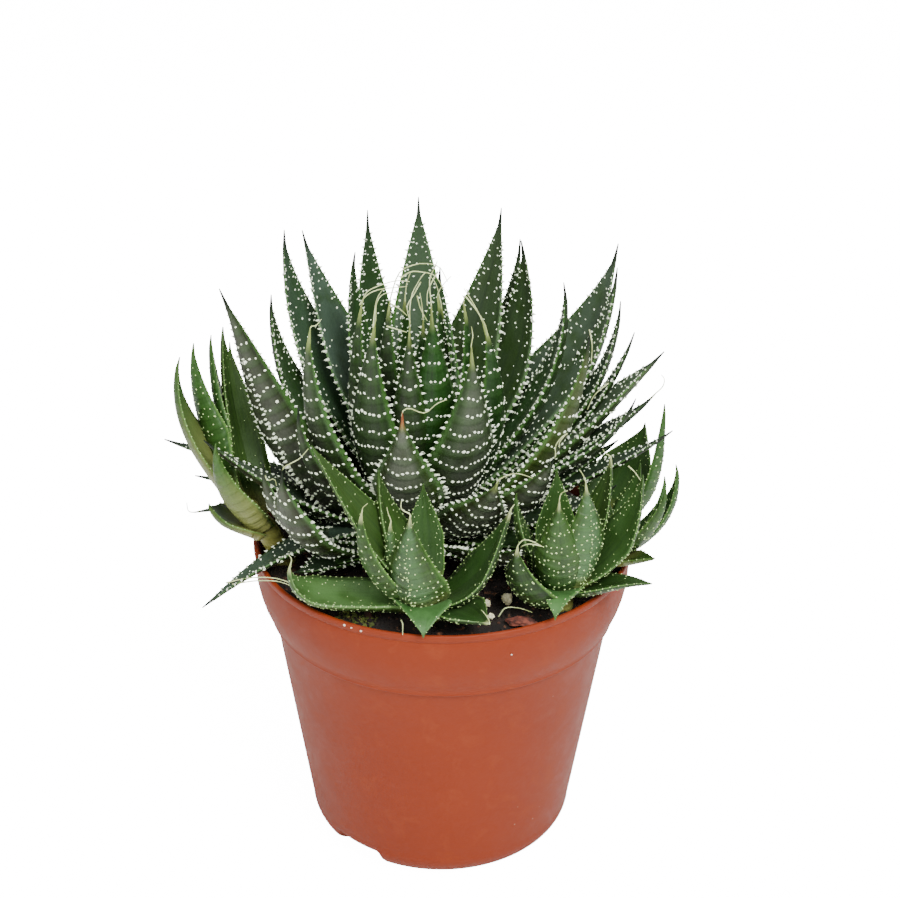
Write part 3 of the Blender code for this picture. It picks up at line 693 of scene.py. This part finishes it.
# Along the blade, shares of its length, and across it, shares of half its width. Sizes are in mm
blade = {"samples": 160, "sections": 54, "hiddenSections": 30, "sectionPower": 1.08, "innerLines": 9,
         "backLines": 9, "stemSides": 24, "lowestRoot": 5, "rootRoom": 3, "rootOut": 0.7, "steepest": 110,
         "handle": 0.32, "handleTurn": 0.12, "footShare": 0.72, "footEnd": 0.22, "narrowEnd": 0.94,
         "narrowPower": 1.15, "leastBroad": 0.03, "edgeHalf": 0.35, "tipNarrowing": 0.2,
         "tipThick": 0.6, "rootThick": 0.24, "thinning": 0.8, "tipThinning": 0.5, "cup": 0.24,
         "innerFloor": 0.25, "innerPower": 1.6, "roundFold": 1.8, "keelFold": 1.25, "raised": 0.1,
         "awnStart": 0.94, "awnRoot": -6, "awnedReach": 50, "dryFade": 0.04, "leanStart": 1.0}


def mainRosette():
    rng = random.Random(scatter["seed"])
    around, outward, upward = scatter["turn"], scatter["reach"], scatter["height"]
    hidden = [Leaf(azimuth + rng.uniform(-around, around), reach + rng.uniform(-outward, outward),
                   height + rng.uniform(-upward, upward), *rest)
              for azimuths, reach, height, *rest in hiddenRows for azimuth in azimuths]
    young = [Leaf(heart["turn"] * i, 5 + 1.6 * i, 86 - 2 * i, 74, 92 + 2 * i, 11 + 0.5 * i,
                  surface="vivid", awn=((1.5 - i, 0, 3 + i), (4 - 2.5 * i, 0, 6 + i)))
             for i in range(heart["count"])]
    return Rosette("main", "main_rosette", -7, 4, 9, 14, 12,
                   (*tallLeaves, *rightLeaves, *frontLeaves, *leftLeaves, *young, *hidden))


offsets = (
    Rosette("front", "offset_front", -5, -42, 4.5, 7, 4, (
        Leaf(-177, 33, 59, 58, 62, 19, -25, 0.25, "plain"),
        Leaf(157, 15, 47, 60, 88, 20, 0, 0.25, "plain"),
        Leaf(95, 9, 41, 62, 96, 11, surface="fresh"),
        Leaf(-156, 20, 41, 34, 98, 15, surface="fresh", awn=((0.2, 0, 1.2), (1.6, 0, 2.6))),
        Leaf(-140, 13, 38, 42, 96, 12, surface="frost", awn=((-0.8, 0, 2.5), (-1.2, 0, 4.5))),
        Leaf(-108, 14, 43, 36, 100, 19, 0, 0.4, "frost", ((-2, 0, 1.2), (-2.6, -1, 3), (-2.4, -1, 5))),
        Leaf(-18, 26, 42, 24, 72, 17, 30, 0.35, "deep", ((1, 0, 1.6),)),
        Leaf(-91, 21, 6, 29, -46, 19, 0, 0.3, "tongue"),
        Leaf(181, 40, 19, 11, 100, 16, 0, 0.6, "silver", ((0.2, 0, 1.5), (-0.6, 0, 3))),
        Leaf(-43, 26, 9, 14, 4, 15, 0, 0.6, "deep", ((-0.6, 0, 2), (-2.2, -1, 5))),
    )),
    Rosette("frontRight", "offset_front_right", 36, -34, 4, 7, 4, (
        Leaf(-56, 10, 47, 44, 102, 16, surface="frost", awn=((-1, 0, 2.5), (-2, 0, 4))),
        Leaf(-100, 12, 43, 40, 98, 15, surface="fresh", awn=((0.5, 0, 2), (2.2, -1, 3.5))),
        Leaf(0, 23, 45, 34, 88, 15, 25, surface="fresh"),
        Leaf(-97, 22, 8, 30, -36, 14, 0, 0.3, "tongue"),
        Leaf(-25, 29, 15, 16, 6, 10, 0, 0.45, "deep"),
        Leaf(-134, 20, 29, 8, 100, 17, surface="deep", awn=((1.6, 0, 1.8), (4, -1, 2), (7.4, -2, 0.6))),
        Leaf(176, 14, 38, 47, 92, 11, surface="fresh"),
        Leaf(29, 16, 47, 56, 90, 12, surface="plain", awn=((-1.5, 0, 1), (-2.5, 0, 2.4))),
        Leaf(110, 6, 44, 50, 92, 12, surface="fresh"),
    )),
    Rosette("left", "offset_left", -50, -8, 4, 19, 4, (
        Leaf(180, 20.5, 71, 56, 104, 14, surface="pale"),
        Leaf(155, 19, 72, 60, 96, 15, 60, surface="lime"),
        Leaf(136, 17, 73, 62, 94, 13, 50, surface="lime"),
        Leaf(123, 16, 75, 64, 96, 13, 40, surface="plain"),
        Leaf(115, 17, 69, 64, 94, 12, surface="plain"),
        Leaf(-165, 14, 23, 34, 76, 13, 0, 0.65, "sheath"),
        Leaf(-130, 15, 48, 50, 96, 14, 0, 0.35, "pale"),
    ), (-8.5, -2)),
    Rosette("right", "offset_right", 49, -14, 3.5, 6, 4, (
        Leaf(0, 22, 38, 26, 100, 11, surface="lime"),
        Leaf(-18, 19, 37, 34, 92, 11, surface="lime"),
        Leaf(-30, 21, 35, 34, 86, 11, surface="fresh"),
        Leaf(-45, 22, 14, 14, 24, 9, surface="sheath"),
        Leaf(40, 16, 33, 40, 88, 9, surface="fresh"),
        Leaf(-80, 9, 30, 56, 90, 8, surface="fresh"),
    )),
    Rosette("backRight", "offset_back_right", 50, 8, 3.5, 6, 4, (
        Leaf(-14, 19, 50, 24, 88, 12, surface="lime"),
        Leaf(40, 19, 35, 40, 88, 21, surface="fresh"),
        Leaf(110, 10, 28, 55, 84, 9, surface="fresh"),
        Leaf(-24, 17, 27, 34, 76, 9, surface="lime"),
        Leaf(20, 22, 26, 24, 60, 8, surface="fresh"),
    )),
)


def direction(azimuth, rise):
    turn, lift = math.radians(azimuth), math.radians(rise)
    return np.array((math.cos(turn) * math.cos(lift), math.sin(turn) * math.cos(lift), math.sin(lift)))


def unit(rows):
    return rows / np.linalg.norm(rows, axis=-1, keepdims=True)


def leafShape(rosette, leaf):
    foot, lean = np.array((rosette.x, rosette.y, 0.0)), np.array((*rosette.lean, 0.0))
    height = blade["lowestRoot"] + (rosette.stemHeight - blade["rootRoom"]) * leaf.rise / 90
    root = foot + lean * height / rosette.stemHeight + up * height
    out = rosette.stemRadius * blade["rootOut"] * (1 - leaf.rise / blade["steepest"])
    root = root + direction(leaf.azimuth, 0) * out
    tip = foot + lean + direction(leaf.azimuth, 0) * leaf.reach + up * leaf.height
    handle = blade["handle"] + blade["handleTurn"] * abs(leaf.tipRise - leaf.rise) / 90
    handle *= np.linalg.norm(tip - root)
    a, b = root, root + direction(leaf.azimuth, leaf.rise) * handle
    c, d = tip - direction(leaf.azimuth, leaf.tipRise) * handle, tip
    t = np.linspace(0, 1, blade["samples"])
    s = 1 - t[:, None]
    q = t[:, None]
    line = a * s**3 + b * 3 * s * s * q + c * 3 * s * q * q + d * q**3
    along = unit((b - a) * s * s + (c - b) * 2 * s * q + (d - c) * q * q)
    flat = np.cross(direction(leaf.azimuth, 0), up)
    twist = (math.radians(leaf.twist) * np.minimum(2 * t, 1))[:, None]
    flat = (flat * np.cos(twist) + np.cross(along, flat) * np.sin(twist)
            + along * (along @ flat)[:, None] * (1 - np.cos(twist)))
    face = unit(np.cross(flat, along))
    side = np.cross(along, face)
    base = blade["footShare"] + (1 - blade["footShare"]) * np.minimum(t / blade["footEnd"], 1)
    fall = np.clip((t - leaf.full) / (blade["narrowEnd"] - leaf.full), 0, 1)
    point = np.clip((t - blade["awnStart"]) / (1 - blade["awnStart"]), 0, 1)
    broad = base * (1 - fall ** blade["narrowPower"]) + blade["leastBroad"]
    half = leaf.width / 2 * broad * (1 - point) + blade["edgeHalf"] - blade["tipNarrowing"] * point
    thick = blade["tipThick"] + blade["rootThick"] * leaf.width * (1 - t) ** blade["thinning"]
    thick = thick * (1 - blade["tipThinning"] * point)
    distance = np.concatenate(([0], np.cumsum(np.linalg.norm(np.diff(line, axis=0), axis=1))))
    line = line + up * soil["top"]
    return {"leaf": leaf, "surface": surfaces[leaf.surface], "t": t, "line": line, "along": along,
            "side": side, "face": face, "half": half, "thick": thick, "distance": distance,
            "length": distance[-1], "broad": broad}


def readAt(shape, key, t):
    values = shape[key]
    if values.ndim == 1:
        return np.interp(t, shape["t"], values)[..., None]
    return np.stack([np.interp(t, shape["t"], values[:, k]) for k in range(3)], -1)


def onLeaf(shape, t, across, back):
    half, thick = readAt(shape, "half", t), readAt(shape, "thick", t)
    across = np.asarray(across, float)[..., None]
    s = np.abs(across)
    cup = blade["cup"] * half
    inner = cup * (blade["innerFloor"] + (1 - blade["innerFloor"]) * s ** blade["innerPower"])
    fold = blade["keelFold"] if shape["surface"].keel else blade["roundFold"]
    keel = cup * s**3 - thick * np.maximum(1 - s**fold, 0)
    lift = np.where(np.asarray(back)[..., None], keel, inner) + blade["raised"] * thick
    sideways = readAt(shape, "side", t) * (across * half)
    return readAt(shape, "line", t) + sideways + readAt(shape, "face", t) * lift


def outwardAt(shape, t, across, back):
    step = 0.01
    ds = onLeaf(shape, t, across + step, back) - onLeaf(shape, t, across - step, back)
    dt = onLeaf(shape, t + step, across, back) - onLeaf(shape, t - step, across, back)
    normal = unit(np.cross(dt, ds))
    return np.where(np.asarray(back)[..., None], -normal, normal)


def bladeMesh(shape, rows, tone):
    inside = np.linspace(-1, 1, blade["innerLines"])
    outside = np.linspace(1, -1, blade["backLines"] + 2)[1:-1]
    across = np.concatenate((inside, outside))
    back = np.concatenate((np.zeros(len(inside), bool), np.ones(len(outside), bool)))
    ring = len(across)
    t = 1 - (1 - np.linspace(0, 1, rows)) ** blade["sectionPower"]
    points = np.concatenate([onLeaf(shape, np.full(ring, value), across, back) for value in t])
    faces = []
    for i in range(rows - 1):
        for k in range(ring):
            a, b = i * ring + k, i * ring + (k + 1) % ring
            faces.append((a, b, b + ring, a + ring))
    faces.append(tuple(range(ring - 1, -1, -1)))
    last = (rows - 1) * ring
    faces.append(tuple(range(last, last + ring)))
    leaf, surface = shape["leaf"], shape["surface"]
    along = np.repeat(t, ring)
    same = {"tone": tone, "bloom": surface.bloom, "shade": surface.shade, "warm": surface.warm,
            "awned": float(bool(leaf.awn) and leaf.reach < blade["awnedReach"])}
    attributes = {
        "along": along,
        "distance": np.interp(along, shape["t"], shape["distance"]),
        "across": np.tile(across, rows),
        "back": np.tile(back.astype(float), rows),
        "root": np.clip(1 - along / surface.root, 0, 1),
        "dry": np.clip((along - (1 - surface.dry)) / blade["dryFade"], 0, 1),
        **{key: np.full(len(points), value) for key, value in same.items()},
    }
    return points, faces, attributes


def stemMesh(rosette):
    sides, radius, height = blade["stemSides"], rosette.stemRadius, rosette.stemHeight
    middle, cap, start = 0.01, height + 3, blade["leanStart"]
    rings = ((middle, cap), (radius * 0.5, cap), (radius, height * 0.7), (radius, start),
             (radius, -rosette.stemDepth), (middle, -rosette.stemDepth))
    turn = np.linspace(0, math.tau, sides, endpoint=False)
    points, faces = [], []
    for r, z in rings:
        share = max(z - start, 0) / (height - start)
        x, y = rosette.x + rosette.lean[0] * share, rosette.y + rosette.lean[1] * share
        level = np.full(sides, soil["top"] + z)
        points.append(np.stack((x + r * np.cos(turn), y + r * np.sin(turn), level), -1))
    for i in range(len(rings) - 1):
        for k in range(sides):
            a, b = i * sides + k, i * sides + (k + 1) % sides
            faces.append((a, a + sides, b + sides, b))
    points = np.concatenate(points)
    same = {"along": 0, "across": 0, "back": 1, "tone": 0.5, "bloom": 0, "shade": 0.5, "warm": 0.9,
            "root": 0.6, "dry": 0, "awned": 0}
    attributes = {key: np.full(len(points), float(value)) for key, value in same.items()}
    attributes["distance"] = points[:, 2] - soil["top"]
    return points, faces, attributes


def joined(name, parts, material):
    points = np.concatenate([part[0] for part in parts])
    faces, start = [], 0
    for part in parts:
        faces += [tuple(start + i for i in face) for face in part[1]]
        start += len(part[0])
    attributes = {key: np.concatenate([part[2][key] for part in parts]) for key in parts[0][2]}
    return newPiece(name, points * mm, faces, material, attributes)


# Leaf skin: firm waxed succulent tissue, so a low sheen, fine streaks along the leaf, a matte
# grey bloom on the backs of old leaves, and swollen bands under the rows of white bumps. Streaks
# and halves are given as waves over half the width, length in mm, shift from leaf to leaf and
# detail, and the other patterns by their size in mm

# In the main look the root colour is painted shade: the leaf bases go near black for the shade at the
# crowded heart of the rosette
mainLook = {"name": "waxed aloe leaf", "deep": "#040902", "vivid": "#193b0d", "olive": "#3a3d17",
            "inner": "#223c14", "bloom": "#575c50", "film": "#354940", "drab": "#505645",
            "band": "#33591e", "root": "#040602", "rootShare": 0.88, "edge": "#46702e", "edgeStart": 0.8,
            "edgeShare": 0.6, "tip": "#0e190b", "awnTip": "#7f8e4e", "dead": "#85492a",
            "roughness": 0.45, "rowGap": 5.6, "bandShare": 0.15}
youngLook = {"name": "fresh aloe leaf", "deep": "#081605", "vivid": "#26491a", "olive": "#5f611e",
             "inner": "#1b3a12", "bloom": "#4c6b48", "film": "#4d7440", "drab": "#5c6e3c",
             "band": "#3f6a27", "root": "#8e8c50", "rootShare": 0.75, "edge": "#648a45", "edgeStart": 0.9,
             "edgeShare": 0.7, "tip": "#35501f", "awnTip": "#a3ac74", "dead": "#8a6d44",
             "roughness": 0.42, "rowGap": 3.6, "bandShare": 0.12}
skinPattern = {"streaks": (7.0, 28.57, 40.0, 4.0), "halves": (1.3, 66.67, 90.0, 1.0), "mottleSize": 6.667,
               "poreSize": 0.7143, "streakShare": 0.9, "toneShare": 0.16, "halfShare": 1.1,
               "innerShare": 0.6, "bloomShare": 0.8, "filmShare": 0.75, "bandBow": 1.4}
leafValues = ("along", "distance", "across", "back", "tone", "bloom", "shade", "warm", "root", "awned",
              "dry")


def leafMaterial(look):
    material, tree, shader = newMaterial(look["name"], IOR=1.42)
    shader.inputs["Specular IOR Level"].default_value = 0.35
    along, distance, across, back, tone, bloom, shade, warm, root, awned, dry = (
        addNode(tree, "ShaderNodeAttribute", attribute_name=name).outputs["Fac"] for name in leafValues)
    front = addNode(tree, "ShaderNodeMath", {0: 1.0, 1: back}, operation="SUBTRACT")
    width = addNode(tree, "ShaderNodeMath", {0: across}, operation="ABSOLUTE")
    flow = addNode(tree, "ShaderNodeCombineXYZ", {"X": across, "Y": distance, "Z": tone})
    flows = []
    for key in ("streaks", "halves"):
        waves, length, shift, detail = skinPattern[key]
        scaled = addNode(tree, "ShaderNodeVectorMath", {
            0: flow, 1: (waves, 1 / length, shift)}, operation="MULTIPLY")
        flows.append(addNode(tree, "ShaderNodeTexNoise", {
            "Vector": scaled, "Scale": 1.0, "Detail": detail}))
    streaks, halves = flows
    place = addNode(tree, "ShaderNodeTexCoord").outputs["Object"]
    mottle = addNode(tree, "ShaderNodeTexNoise", {
        "Vector": place, "Scale": patternScale(skinPattern["mottleSize"]), "Detail": 4.0})
    pores = addNode(tree, "ShaderNodeTexNoise", {
        "Vector": place, "Scale": patternScale(skinPattern["poreSize"]), "Detail": 3.0})
    # Living tissue, from near black to vivid, with streaks and a difference from leaf to leaf
    grown = shade
    for source, key in ((streaks, "streakShare"), (tone, "toneShare"), (halves, "halfShare")):
        offset = addNode(tree, "ShaderNodeMath", {0: source, 1: 0.5}, operation="SUBTRACT")
        grown = addNode(tree, "ShaderNodeMath", {
            0: offset, 1: skinPattern[key], 2: grown}, operation="MULTIPLY_ADD")
    # Swollen bands under the rows of bumps, bowed towards the tip at the margins
    bow = addNode(tree, "ShaderNodeMath", {0: width, 1: width}, operation="MULTIPLY")
    bow = addNode(tree, "ShaderNodeMath", {
        0: bow, 1: -skinPattern["bandBow"], 2: distance}, operation="MULTIPLY_ADD")
    phase = addNode(tree, "ShaderNodeMath", {0: bow, 1: math.tau / look["rowGap"]}, operation="MULTIPLY")
    wave = addNode(tree, "ShaderNodeMath", {0: phase}, operation="COSINE")
    eased = []
    for value, low, high, least, most in (
            (streaks, 0.3, 0.6, 0.5, 1.0),
            (mottle, 0.25, 0.6, 0.35, 1.0),
            (width, 0.85, 0.35, 0.0, 1.0),
            (wave, -0.4, 1.0, 0.0, 1.0),
            (width, look["edgeStart"], 0.99, 0.0, look["edgeShare"]),
            (along, 0.9, 0.98, 0.0, 1.0),
            (mottle, 0.3, 0.75, look["roughness"] - 0.06, look["roughness"] + 0.16)):
        eased.append(addNode(tree, "ShaderNodeMapRange", {
            "Value": value, "From Min": low, "From Max": high, "To Min": least, "To Max": most},
            interpolation_type="SMOOTHSTEP"))
    patchy, cloudy, keelward, swollen, margin, tipward, gloss = eased
    row = addNode(tree, "ShaderNodeMath", {0: swollen, 1: back}, operation="MULTIPLY")
    film, tip = (addNode(tree, "ShaderNodeMix", {
        "Factor": factor, "A": hexColour(look[a]), "B": hexColour(look[b])}, data_type="RGBA")
        for factor, a, b in ((warm, "film", "drab"), (awned, "tip", "awnTip")))
    # The waxy bloom is a grey film, thickest along the keel, and a blue one on the inner face
    layColours(tree, shader, look["deep"], [
        ((grown,), look["vivid"]),
        ((warm, patchy), look["olive"]),
        ((front, shade, skinPattern["innerShare"]), look["inner"]),
        ((cloudy, bloom, back, keelward, skinPattern["bloomShare"]), look["bloom"]),
        ((cloudy, bloom, front, skinPattern["filmShare"]), film),
        ((row, look["bandShare"]), look["band"]),
        # Root zone: painted shade, near black, on the main rosette where the leaf bases crowd at its heart,
        # and the own pale base of the young leaves
        ((root, look["rootShare"]), look["root"]),
        ((margin,), look["edge"]),
        ((tipward,), tip),
        ((dry,), look["dead"])])
    grain = 0.0
    for source, share in ((streaks, 0.5), (pores, 0.2), (row, 0.9)):
        grain = addNode(tree, "ShaderNodeMath", {0: source, 1: share, 2: grain}, operation="MULTIPLY_ADD")
    bump = addNode(tree, "ShaderNodeBump", {"Height": grain, "Strength": 0.5, "Distance": 0.5 * mm})
    feed(tree, shader, Roughness=gloss, Normal=bump)
    return material


# Bumps and teeth: hard white cartilage, in rows across the backs and along both margins.
# Distances along the leaf are in mm, and places across it are shares of half its width

mainStuds = {"rowGap": 5.6, "pitch": 1.35, "first": 7, "last": 0.9, "size": 0.84, "missing": 0.06,
             "stray": 0.5, "wave": 0.5, "innerGap": 2.2, "innerSize": 0.66, "toothGap": 2.5, "tooth": 1.05}
youngStuds = {"rowGap": 2.7, "pitch": 1.4, "first": 6, "last": 0.9, "size": 0.52, "missing": 0.2,
              "stray": 1.2, "wave": 0.3, "innerGap": 2.6, "innerSize": 0.4, "toothGap": 2.1, "tooth": 0.45}
studRows = {"hiddenPitch": 1.4, "cover": 0.9, "margin": 0.92, "jitter": 0.25, "bow": 1.4, "waves": 6,
            "edgePlaces": (-0.83, -0.6, 0.6, 0.83), "edgeChance": 0.9, "middleChance": 0.7,
            "smallest": 0.55, "fullHalf": 4, "mostInPiece": 9500}  # 20 triangles each, so under 200,000
toothRows = {"first": 7, "last": 0.93, "keelLast": 0.8, "place": 0.97, "tilt": 0.25, "keelSpread": 0.8,
             "keelForward": 0.4, "keelSize": 1.1, "keelGap": 0.7}


def studPoints(shape, look, rng, seen):
    found = []
    end, dots = shape["length"] * look["last"], shape["surface"].dots
    pitch = look["pitch"] * (1 if seen else studRows["hiddenPitch"])
    margin, jitter = studRows["margin"], studRows["jitter"]
    distance = look["first"]
    while dots and distance < end:
        half = float(readAt(shape, "half", np.interp(distance, shape["distance"], shape["t"]))[0])
        count = max(int(2 * half * studRows["cover"] / pitch), 1)
        for i in range(count):
            if rng.random() < look["missing"]:
                continue
            s = (i + 0.5) / count * 2 * margin - margin + rng.uniform(-jitter, jitter) / count
            place = distance + studRows["bow"] * s * s
            place += look["wave"] * math.sin(studRows["waves"] * s + distance)
            place += rng.uniform(-1, 1) * look["stray"]
            found.append((place, s, True, look["size"] * rng.uniform(0.75, 1.15)))
        distance += look["rowGap"]
    distance = look["first"]
    while seen and distance < end:
        for s in studRows["edgePlaces"]:
            if rng.random() < dots * studRows["edgeChance"]:
                found.append((distance + rng.uniform(-0.9, 0.9), s + rng.uniform(-0.08, 0.08), False,
                              look["innerSize"] * rng.uniform(0.75, 1.1)))
        if rng.random() < dots * studRows["middleChance"]:
            found.append((distance + rng.uniform(-1, 1), rng.uniform(-0.45, 0.45), False,
                          look["innerSize"] * rng.uniform(0.7, 1.0)))
        distance += look["innerGap"]
    points, aims, sizes = [], [], []
    for distance, s, back, size in found:
        t = np.interp(distance, shape["distance"], shape["t"])
        broad = min(float(readAt(shape, "half", t)[0]) / studRows["fullHalf"], 1)
        points.append(onLeaf(shape, t, s, back))
        aims.append(outwardAt(shape, t, s, back))
        sizes.append(size * (studRows["smallest"] + (1 - studRows["smallest"]) * broad))
    return points, aims, sizes


def toothPoints(shape, look, rng):
    points, aims, sizes = [], [], []
    tilt, spread = toothRows["tilt"], toothRows["keelSpread"]
    for edge in (-1, 1, 0) if shape["surface"].keel else (-1, 1):
        distance = toothRows["first"] + rng.uniform(0, 2)
        while distance < shape["length"] * toothRows["last" if edge else "keelLast"]:
            t = np.interp(distance, shape["distance"], shape["t"])
            along, side, face = (readAt(shape, key, t) for key in ("along", "side", "face"))
            if edge:
                points.append(onLeaf(shape, t, edge * toothRows["place"], False))
                aim = side * edge + along * rng.uniform(0.1, 0.55) + face * rng.uniform(-tilt, tilt)
            else:
                points.append(onLeaf(shape, t, rng.uniform(-0.05, 0.05), True))
                aim = side * rng.uniform(-spread, spread) + along * toothRows["keelForward"] - face
            aims.append(unit(aim))
            broad = float(readAt(shape, "broad", t)[0])
            size = look["tooth"] * (0.5 + 0.5 * broad) * rng.uniform(0.8, 1.15)
            sizes.append(size if edge else size * toothRows["keelSize"])
            distance += look["toothGap"] * rng.uniform(0.8, 1.2) * (1 if edge else toothRows["keelGap"])
    return points, aims, sizes


# Cartilage is hard and dense, so it is pale, slightly glossy and faintly clouded
cartilage = plainOrganic("white leaf cartilage", "#f8ffec", "#e4f4cc", 1.5, 0.45)
youngCartilage = plainOrganic("pale young cartilage", "#c6dc9c", "#96b46c", 1.5, 0.45)
mainSkin = leafMaterial(mainLook)
youngSkin = leafMaterial(youngLook)
awnLines = []


def grownOn(name, tree, found, white, slotName):
    points, aims, sizes = found
    host = pointHost(name, np.array(points) * mm, {"aim": aims, "size": sizes})
    keep(growPiece(host, tree, {"Material": white}), slotName)


def makeRosette(rosette, skin, white, look, slotName, shown):
    rng = random.Random(rosette.node)
    parts = [stemMesh(rosette)]
    teeth, frontStuds, backStuds = ([], [], []), ([], [], []), ([], [], [])
    for number, leaf in enumerate(rosette.leaves):
        shape = leafShape(rosette, leaf)
        seen = number < shown
        parts.append(bladeMesh(shape, blade["sections" if seen else "hiddenSections"], rng.random()))
        for store, new in zip(teeth, toothPoints(shape, look, rng)):
            store += new
        for store, new in zip(frontStuds if seen else backStuds, studPoints(shape, look, rng, seen)):
            store += new
        if leaf.awn:
            tip = shape["line"][-1]
            steps = [tip + np.array(step) for step in leaf.awn]
            awnLines.append([shape["line"][blade["awnRoot"]], tip, *steps])
    keep(joined(rosette.name + "Leaves", parts, skin), slotName, rosette.node)
    grownOn(rosette.name + "Teeth", thorns, teeth, white, slotName)
    most = studRows["mostInPiece"]
    for start in range(0, len(frontStuds[0]), most):
        some = [part[start:start + most] for part in frontStuds]
        number = str(start // most + 1) if start else ""
        grownOn(rosette.name + "Studs" + number, studs, some, white, slotName)
    if backStuds[0]:
        grownOn(rosette.name + "HiddenStuds", studs, backStuds, white, slotName)


mainPlant = mainRosette()
hiddenCount = sum(len(row[0]) for row in hiddenRows)
makeRosette(mainPlant, mainSkin, cartilage, mainStuds, "dark_leaf", len(mainPlant.leaves) - hiddenCount)
print("main rosette ready")
for rosette in offsets:
    makeRosette(rosette, youngSkin, youngCartilage, youngStuds, "young_leaf", len(rosette.leaves))
print("young rosettes ready")


# Dried awns: straw threads that curl from the leaf tips, and others caught among the leaves

straw = {"radius": 0.22, "rootShare": 1.1, "thinning": 0.6, "loose": (  # x, y, height above the ground
    ((-13, -6, 195), (-10, -6, 197), (-7, -6, 197), (-3, -6, 196), (-1, -6, 193), (1, -6, 189)),
    ((-2, -8, 198), (-4, -8, 194), (-5, -8, 191), (-5, -8, 187)),
    ((-7, -9, 195), (-9, -9, 191), (-11, -9, 187), (-10, -9, 182)),
    ((-8, -10, 191), (-7, -10, 187), (-5, -10, 183)),
    ((-25, -10, 188), (-23, -10, 191), (-19, -10, 193), (-11, -10, 194)),
    ((-21, -13, 182), (-20, -12, 190), (-18, -12, 194)),
    ((-16, -13, 190), (-13, -13, 188), (-11, -13, 186)),
    ((-17, -14, 183), (-14, -14, 182), (-11, -14, 181)),
    ((6, -14, 193), (9, -14, 189), (12, -14, 184), (13, -14, 180)),
    ((44, 0, 176), (45, 0, 171), (45, 0, 165)),
    ((50, -6, 161), (46, -6, 157), (44, -6, 152)),
    ((37, -20, 151), (35, -20, 148), (35, -20, 146)),
    ((56, -20, 140), (58, -20, 138), (60, -20, 135)),
    ((-62, -11, 171), (-60, -11, 172), (-57, -11, 172)),
    ((17, -46, 102.5), (19, -46, 105.5), (23, -46, 105.5), (27, -46, 104)),
    ((-12, -54, 106), (-11.5, -57, 106.2), (-11.5, -59.6, 104.4)),
    ((-66, -31, 104.5), (-59, -30, 105.7), (-51, -30, 105.7), (-44, -31, 103.5), (-38, -32, 101)),
    ((-64, -31, 104), (-57, -30.5, 105), (-50, -30.5, 104.8), (-43, -31.5, 102.5)),
)}


def makeThreads():
    points, edges, thickness = [], [], []
    for line in (*awnLines, *straw["loose"]):
        start = len(points)
        for i, point in enumerate(line):
            points.append(point)
            share = i / (len(line) - 1)
            thickness.append(straw["radius"] * mm * (straw["rootShare"] - straw["thinning"] * share))
            if i:
                edges.append((start + i - 1, start + i))
    material = plainOrganic("dry straw awn", "#d2dca4", "#99a566", 3.0, 0.6)  # dead fibre, pale and matte
    host = pointHost("strawAwns", np.array(points) * mm, {"thickness": thickness}, edges)
    keep(growPiece(host, threads, {"Material": material}), "young_leaf")


makeThreads()
print("awns ready")


# Loose grains on the soil: foamed perlite, chalky and matte, and a chip of dull red pine bark

lump = {"fineness": 4, "bulge": 1.6, "pits": 5, "pitShare": 0.3, "perlites": 5, "perliteRough": 0.35,
        "barkRough": 0.5}


def makeLump(name, node, material, slotName, rough, seed):
    low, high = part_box(node)
    middle, room = (low + high) / 2, (high - low) / 2
    bpy.ops.mesh.primitive_ico_sphere_add(subdivisions=lump["fineness"], radius=1)
    piece = bpy.context.object
    piece.name = name
    piece.data.name = name
    for vert in piece.data.vertices:
        way = vert.co.normalized()
        bulge = 1 + rough * noise.noise(way * lump["bulge"] + Vector((seed, 0, 0)))
        bulge += lump["pitShare"] * rough * noise.noise(way * lump["pits"])
        vert.co = middle + Vector([way[k] * room[k] * bulge for k in range(3)])
    piece.data.materials.append(material)
    piece.data.shade_smooth()
    keep(piece, slotName, node)


perlite = plainOrganic("foamed perlite", "#fdf9d2", "#e4dca6", 0.8, 0.85)
bark = plainOrganic("pine bark", "#7a3f30", "#3a1d16", 1.6, 0.85)
for seed in range(lump["perlites"]):
    number = str(seed + 1)
    makeLump("perlite" + number, "perlite_grain_" + number, perlite, "perlite", lump["perliteRough"], seed)
makeLump("barkChip", "bark_chip", bark, "bark", lump["barkRough"], 7)
print("loose grains ready")
